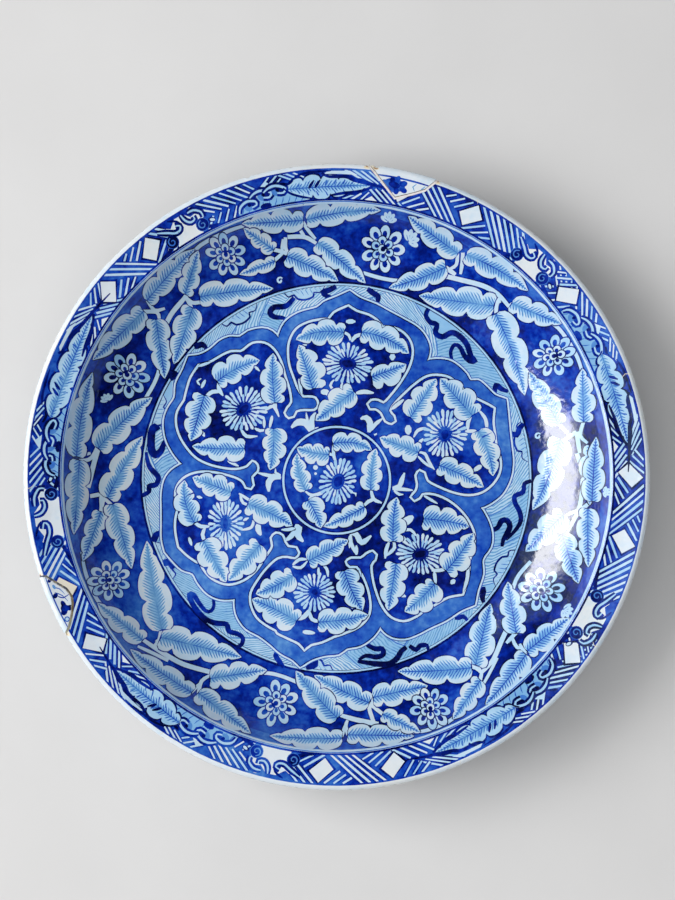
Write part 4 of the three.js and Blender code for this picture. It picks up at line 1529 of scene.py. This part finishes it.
def glaze(name):
    """Tin-white glaze with the painting under it, mottled where the blue pooled."""
    shader = Shader(name)
    paint = shader.node("Attribute", attribute_name="paint")
    split = shader.node("SeparateColor")
    shader.join(paint.outputs["Color"], split.inputs[0])
    blue, veined, green = split.outputs
    stain = paint.outputs["Alpha"]
    veins = shader.node("Attribute", attribute_name="veins")
    parts = shader.node("SeparateXYZ")
    shader.join(veins.outputs["Vector"], parts.inputs[0])
    along, across, edge = parts.outputs

    # feathered veins: strokes that lean towards the tip and fade before the edge
    wobble = shader.maths("MULTIPLY", shader.cloud(260, 1.0), 1.5)
    place = shader.maths("SUBTRACT", along, shader.maths("MULTIPLY", across, 0.75))
    place = shader.maths("DIVIDE", shader.maths("ADD", place, wobble), VEIN_PITCH)
    wave = shader.maths("ABSOLUTE", shader.maths("SUBTRACT", shader.maths("FRACT", place), 0.5))
    line = shader.between(wave, 0.12, 0.32, 1.0, 0.0)
    reach = shader.maths("ADD", edge, shader.maths("MULTIPLY", shader.cloud(190, 1.0), 0.3))
    line = shader.maths("MULTIPLY", line, shader.between(reach, 0.6, 0.95, 1.0, 0.0))
    wash = shader.maths("ADD", edge, shader.maths("MULTIPLY", shader.cloud(70, 2.0), 0.9))
    wash = shader.between(wash, 0.4, 1.15, 0.29, 0.03)
    midrib = shader.between(across, 0.22, 0.55, 0.55, 0.0)
    midrib = shader.maths("MULTIPLY", midrib, shader.between(edge, 0.12, 0.2, 1.0, 0.0))
    strokes = shader.maths("MAXIMUM", shader.maths("MULTIPLY", line, 0.5), midrib)
    strokes = shader.maths("MULTIPLY", shader.maths("MAXIMUM", strokes, wash), veined)
    blue = shader.maths("MAXIMUM", blue, strokes)

    # pooling and thin places of the blue
    specks = shader.maths("MULTIPLY", shader.cloud(260, 2.0), 0.45)
    pools = shader.maths("ADD", shader.cloud(42, 3.0, 0.6), specks)
    pools = shader.maths("ADD", pools, shader.maths("MULTIPLY", shader.cloud(9, 2.0), 0.8))
    pooled = shader.between(blue, 0.3, 0.6, 0.13, 0.85)
    pools = shader.maths("MULTIPLY", shader.maths("SUBTRACT", pools, 1.12), pooled)
    blue = shader.maths("ADD", blue, pools, clamp=True)
    colour = shader.ramp(blue, BLUES)
    tint = shader.maths("MULTIPLY", green, shader.between(blue, 0.04, 0.34, 0.1, 0.6))
    tint = shader.maths("MULTIPLY", tint, shader.between(blue, 0.4, 0.55, 1.0, 0.0))
    colour = shader.mix(tint, colour, TEAL)
    # warm cast in the white, stains beside the mends, and bare clay
    warm = shader.between(shader.cloud(16, 2.0), 0.45, 0.75, 0.0, 0.35)
    warm = shader.maths("MULTIPLY", warm, shader.between(blue, 0.0, 0.2, 0.6, 0.0))
    stained = shader.maths("ADD", warm, shader.between(stain, 0.0, 0.5, 0.0, 1.0), clamp=True)
    colour = shader.mix(stained, colour, CREAM)
    bare = shader.between(stain, 0.55, 0.8)
    clay = shader.mix(shader.cloud(700, 3.0), CLAY, light(184, 152, 116))
    colour = shader.mix(bare, colour, clay)
    # pinholes where the glaze burst in the kiln
    cells = shader.node("TexVoronoi")
    cells.inputs["Scale"].default_value = 60
    shader.join(shader.node("TexCoord").outputs["Object"], cells.inputs["Vector"])
    pinhole = shader.between(cells.outputs["Distance"], 0.016, 0.03, 1.0, 0.0)
    colour = shader.mix(pinhole, colour, light(54, 52, 66))
    shader.join(colour, shader.surface.inputs["Base Color"])

    gloss = shader.between(shader.cloud(60, 3.0), 0.3, 0.7, 0.1, 0.2)
    rough = shader.maths("ADD", gloss, shader.maths("MULTIPLY", bare, 0.55))
    shader.join(rough, shader.surface.inputs["Roughness"])
    # throwing ripples and orange peel in the glaze
    swell = shader.maths("MULTIPLY", shader.cloud(105, 2.0), 0.7)
    swell = shader.maths("ADD", shader.cloud(26, 2.0), swell)
    swell = shader.maths("ADD", swell, shader.maths("MULTIPLY", shader.cloud(230, 2.0), 0.22))
    shader.bump(swell, 0.7, 0.001)
    shader.surface.inputs["Specular IOR Level"].default_value = 0.65
    shader.surface.inputs["Coat Weight"].default_value = 0.5
    shader.surface.inputs["Coat Roughness"].default_value = 0.1
    return shader.material


def adhesive(name, upper, middle, lower, pale, ends):
    """Old glue: matt, uneven and a little dirty. It changes colour between two places along Y."""
    shader = Shader(name)
    parts = shader.node("SeparateXYZ")
    shader.join(shader.node("TexCoord").outputs["Object"], parts.inputs[0])
    along = shader.maths("ADD", parts.outputs[1], shader.maths("MULTIPLY", shader.cloud(150, 2.0), 0.006))
    high, low = ends
    aged = shader.mix(shader.between(along, low - 0.008, low + 0.004), lower, middle)
    aged = shader.mix(shader.between(along, high - 0.004, high + 0.004), aged, upper)
    grime = shader.between(shader.cloud(240, 4.0), 0.4, 0.7, 0.0, 0.8)
    shader.join(shader.mix(grime, aged, pale), shader.surface.inputs["Base Color"])
    shader.join(shader.between(grime, 0.0, 1.0, 0.5, 0.75), shader.surface.inputs["Roughness"])
    shader.bump(shader.cloud(900, 3.0), 0.5, 0.0004)
    return shader.material


def floor_material():
    shader = Shader("pale_floor")
    grain = shader.between(shader.cloud(8, 4.0), 0.3, 0.7)
    shade = shader.mix(grain, light(207, 206, 205), light(210, 209, 208))
    shader.join(shade, shader.surface.inputs["Base Color"])
    shader.join(shader.between(grain, 0.0, 1.0, 0.93, 0.96), shader.surface.inputs["Roughness"])
    shader.surface.inputs["Specular IOR Level"].default_value = 0.1
    return shader.material


# --- The pieces -------------------------------------------------------------------------------
def settle(piece, node):
    """Puts a piece on the root body and hides the CAD part that it replaces."""
    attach(piece, "root")
    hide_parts(node)


painted = glaze("painted_glaze")
settle(build_dish(dish_drawing(), painted), "dish_body")
settle(build_fragment("upper_fragment", UPPER_BREAK, UPPER_SEAT, upper_drawing(), painted, 5),
       "upper_rim_fragment")
settle(build_fragment("left_fragment", LEFT_BREAK, LEFT_SEAT, left_drawing(), painted, 8),
       "left_rim_fragment")
pale_glue = adhesive("pale_adhesive", light(208, 200, 192), light(218, 210, 208), light(212, 208, 206),
                     light(226, 220, 218), (0.215, 0.205))
brown_glue = adhesive("brown_adhesive", light(58, 66, 84), light(96, 82, 54), light(128, 134, 122),
                      light(150, 138, 108), (-0.078, -0.094))
settle(build_adhesive("upper_adhesive", UPPER_BREAK, pale_glue, 0.18, 3),
       "upper_adhesive_bed")
settle(build_adhesive("left_adhesive", LEFT_BREAK, brown_glue, 0.1, 4),
       "left_adhesive_bed")


# --- Floor, light and camera ------------------------------------------------------------------
def lay_floor():
    """A plain floor, cut into squares, that reaches past the camera's view all round."""
    mesh = bpy.data.meshes.new("floor")
    reach, steps = 9.0, 12
    spots = []
    for i in range(steps + 1):
        for j in range(steps + 1):
            spots.append((reach * (2 * i / steps - 1), reach * (2 * j / steps - 1), 0.0))
    faces = []
    for i in range(steps):
        for j in range(steps):
            a = i * (steps + 1) + j
            faces.append((a, a + steps + 1, a + steps + 2, a + 1))
    mesh.from_pydata(spots, [], faces)
    mesh.materials.append(floor_material())
    floor = bpy.data.objects.new("floor", mesh)
    bpy.context.scene.collection.objects.link(floor)


def hang_light(name, degrees, elevation, distance, wide, high, watts, mirrored=True, spread=True,
               colour=(1.0, 1.0, 1.0)):
    """A soft rectangular light that looks at the dish. It may only be mirrored, or only light it."""
    lamp = bpy.data.lights.new(name, "AREA")
    lamp.shape = "RECTANGLE"
    lamp.size, lamp.size_y = wide, high
    lamp.energy = watts
    lamp.color = colour
    hung = bpy.data.objects.new(name, lamp)
    hung.visible_glossy = mirrored
    hung.visible_diffuse = spread
    hung.visible_camera = False
    flat = math.cos(math.radians(elevation)) * distance
    x, y = polar(degrees, flat)
    hung.location = (x, y, math.sin(math.radians(elevation)) * distance)
    hung.rotation_mode = "QUATERNION"
    hung.rotation_quaternion = (Vector((0, 0, 0.03)) - hung.location).to_track_quat("-Z", "Y")
    bpy.context.scene.collection.objects.link(hung)


def fill_with_sky(strength):
    """An even sky that lights the dish from all round and isn't mirrored in the glaze."""
    world = bpy.data.worlds.new("studio")
    world.use_nodes = True
    sky = world.node_tree.nodes["Background"]
    sky.inputs["Color"].default_value = (0.95, 0.97, 1.0, 1.0)
    sky.inputs["Strength"].default_value = strength
    world.cycles_visibility.glossy = False
    bpy.context.scene.world = world


def set_camera():
    """Looks almost straight down, two degrees from the front."""
    distance, tilt = 1.8, math.radians(2)
    lip = (LIP_TOP_Z - LIP_BEAD) * MM
    camera = bpy.data.cameras.new("camera")
    camera.lens = 100.3
    camera.sensor_width = 36.0
    eye = bpy.data.objects.new("camera", camera)
    eye.location = (0, -math.sin(tilt) * distance, lip + math.cos(tilt) * distance)
    aim = Vector((0.0008, 0.0182, lip))
    eye.rotation_mode = "QUATERNION"
    eye.rotation_quaternion = (aim - eye.location).to_track_quat("-Z", "Y")
    bpy.context.scene.collection.objects.link(eye)
    bpy.context.scene.camera = eye


lay_floor()
hang_light("window", 173, 40, 4.0, 2.7, 2.2, 150)
hang_light("glint", 173, 35, 4.0, 2.7, 3.2, 90, spread=False)
hang_light("glow", 173, 40, 4.2, 5.0, 5.0, 60, spread=False, colour=(0.4, 0.68, 1.0))
hang_light("fill", 240, 70, 2.4, 2.2, 2.2, 17, mirrored=False)
fill_with_sky(0.36)
bpy.context.scene.view_settings.view_transform = "Standard"
set_camera()
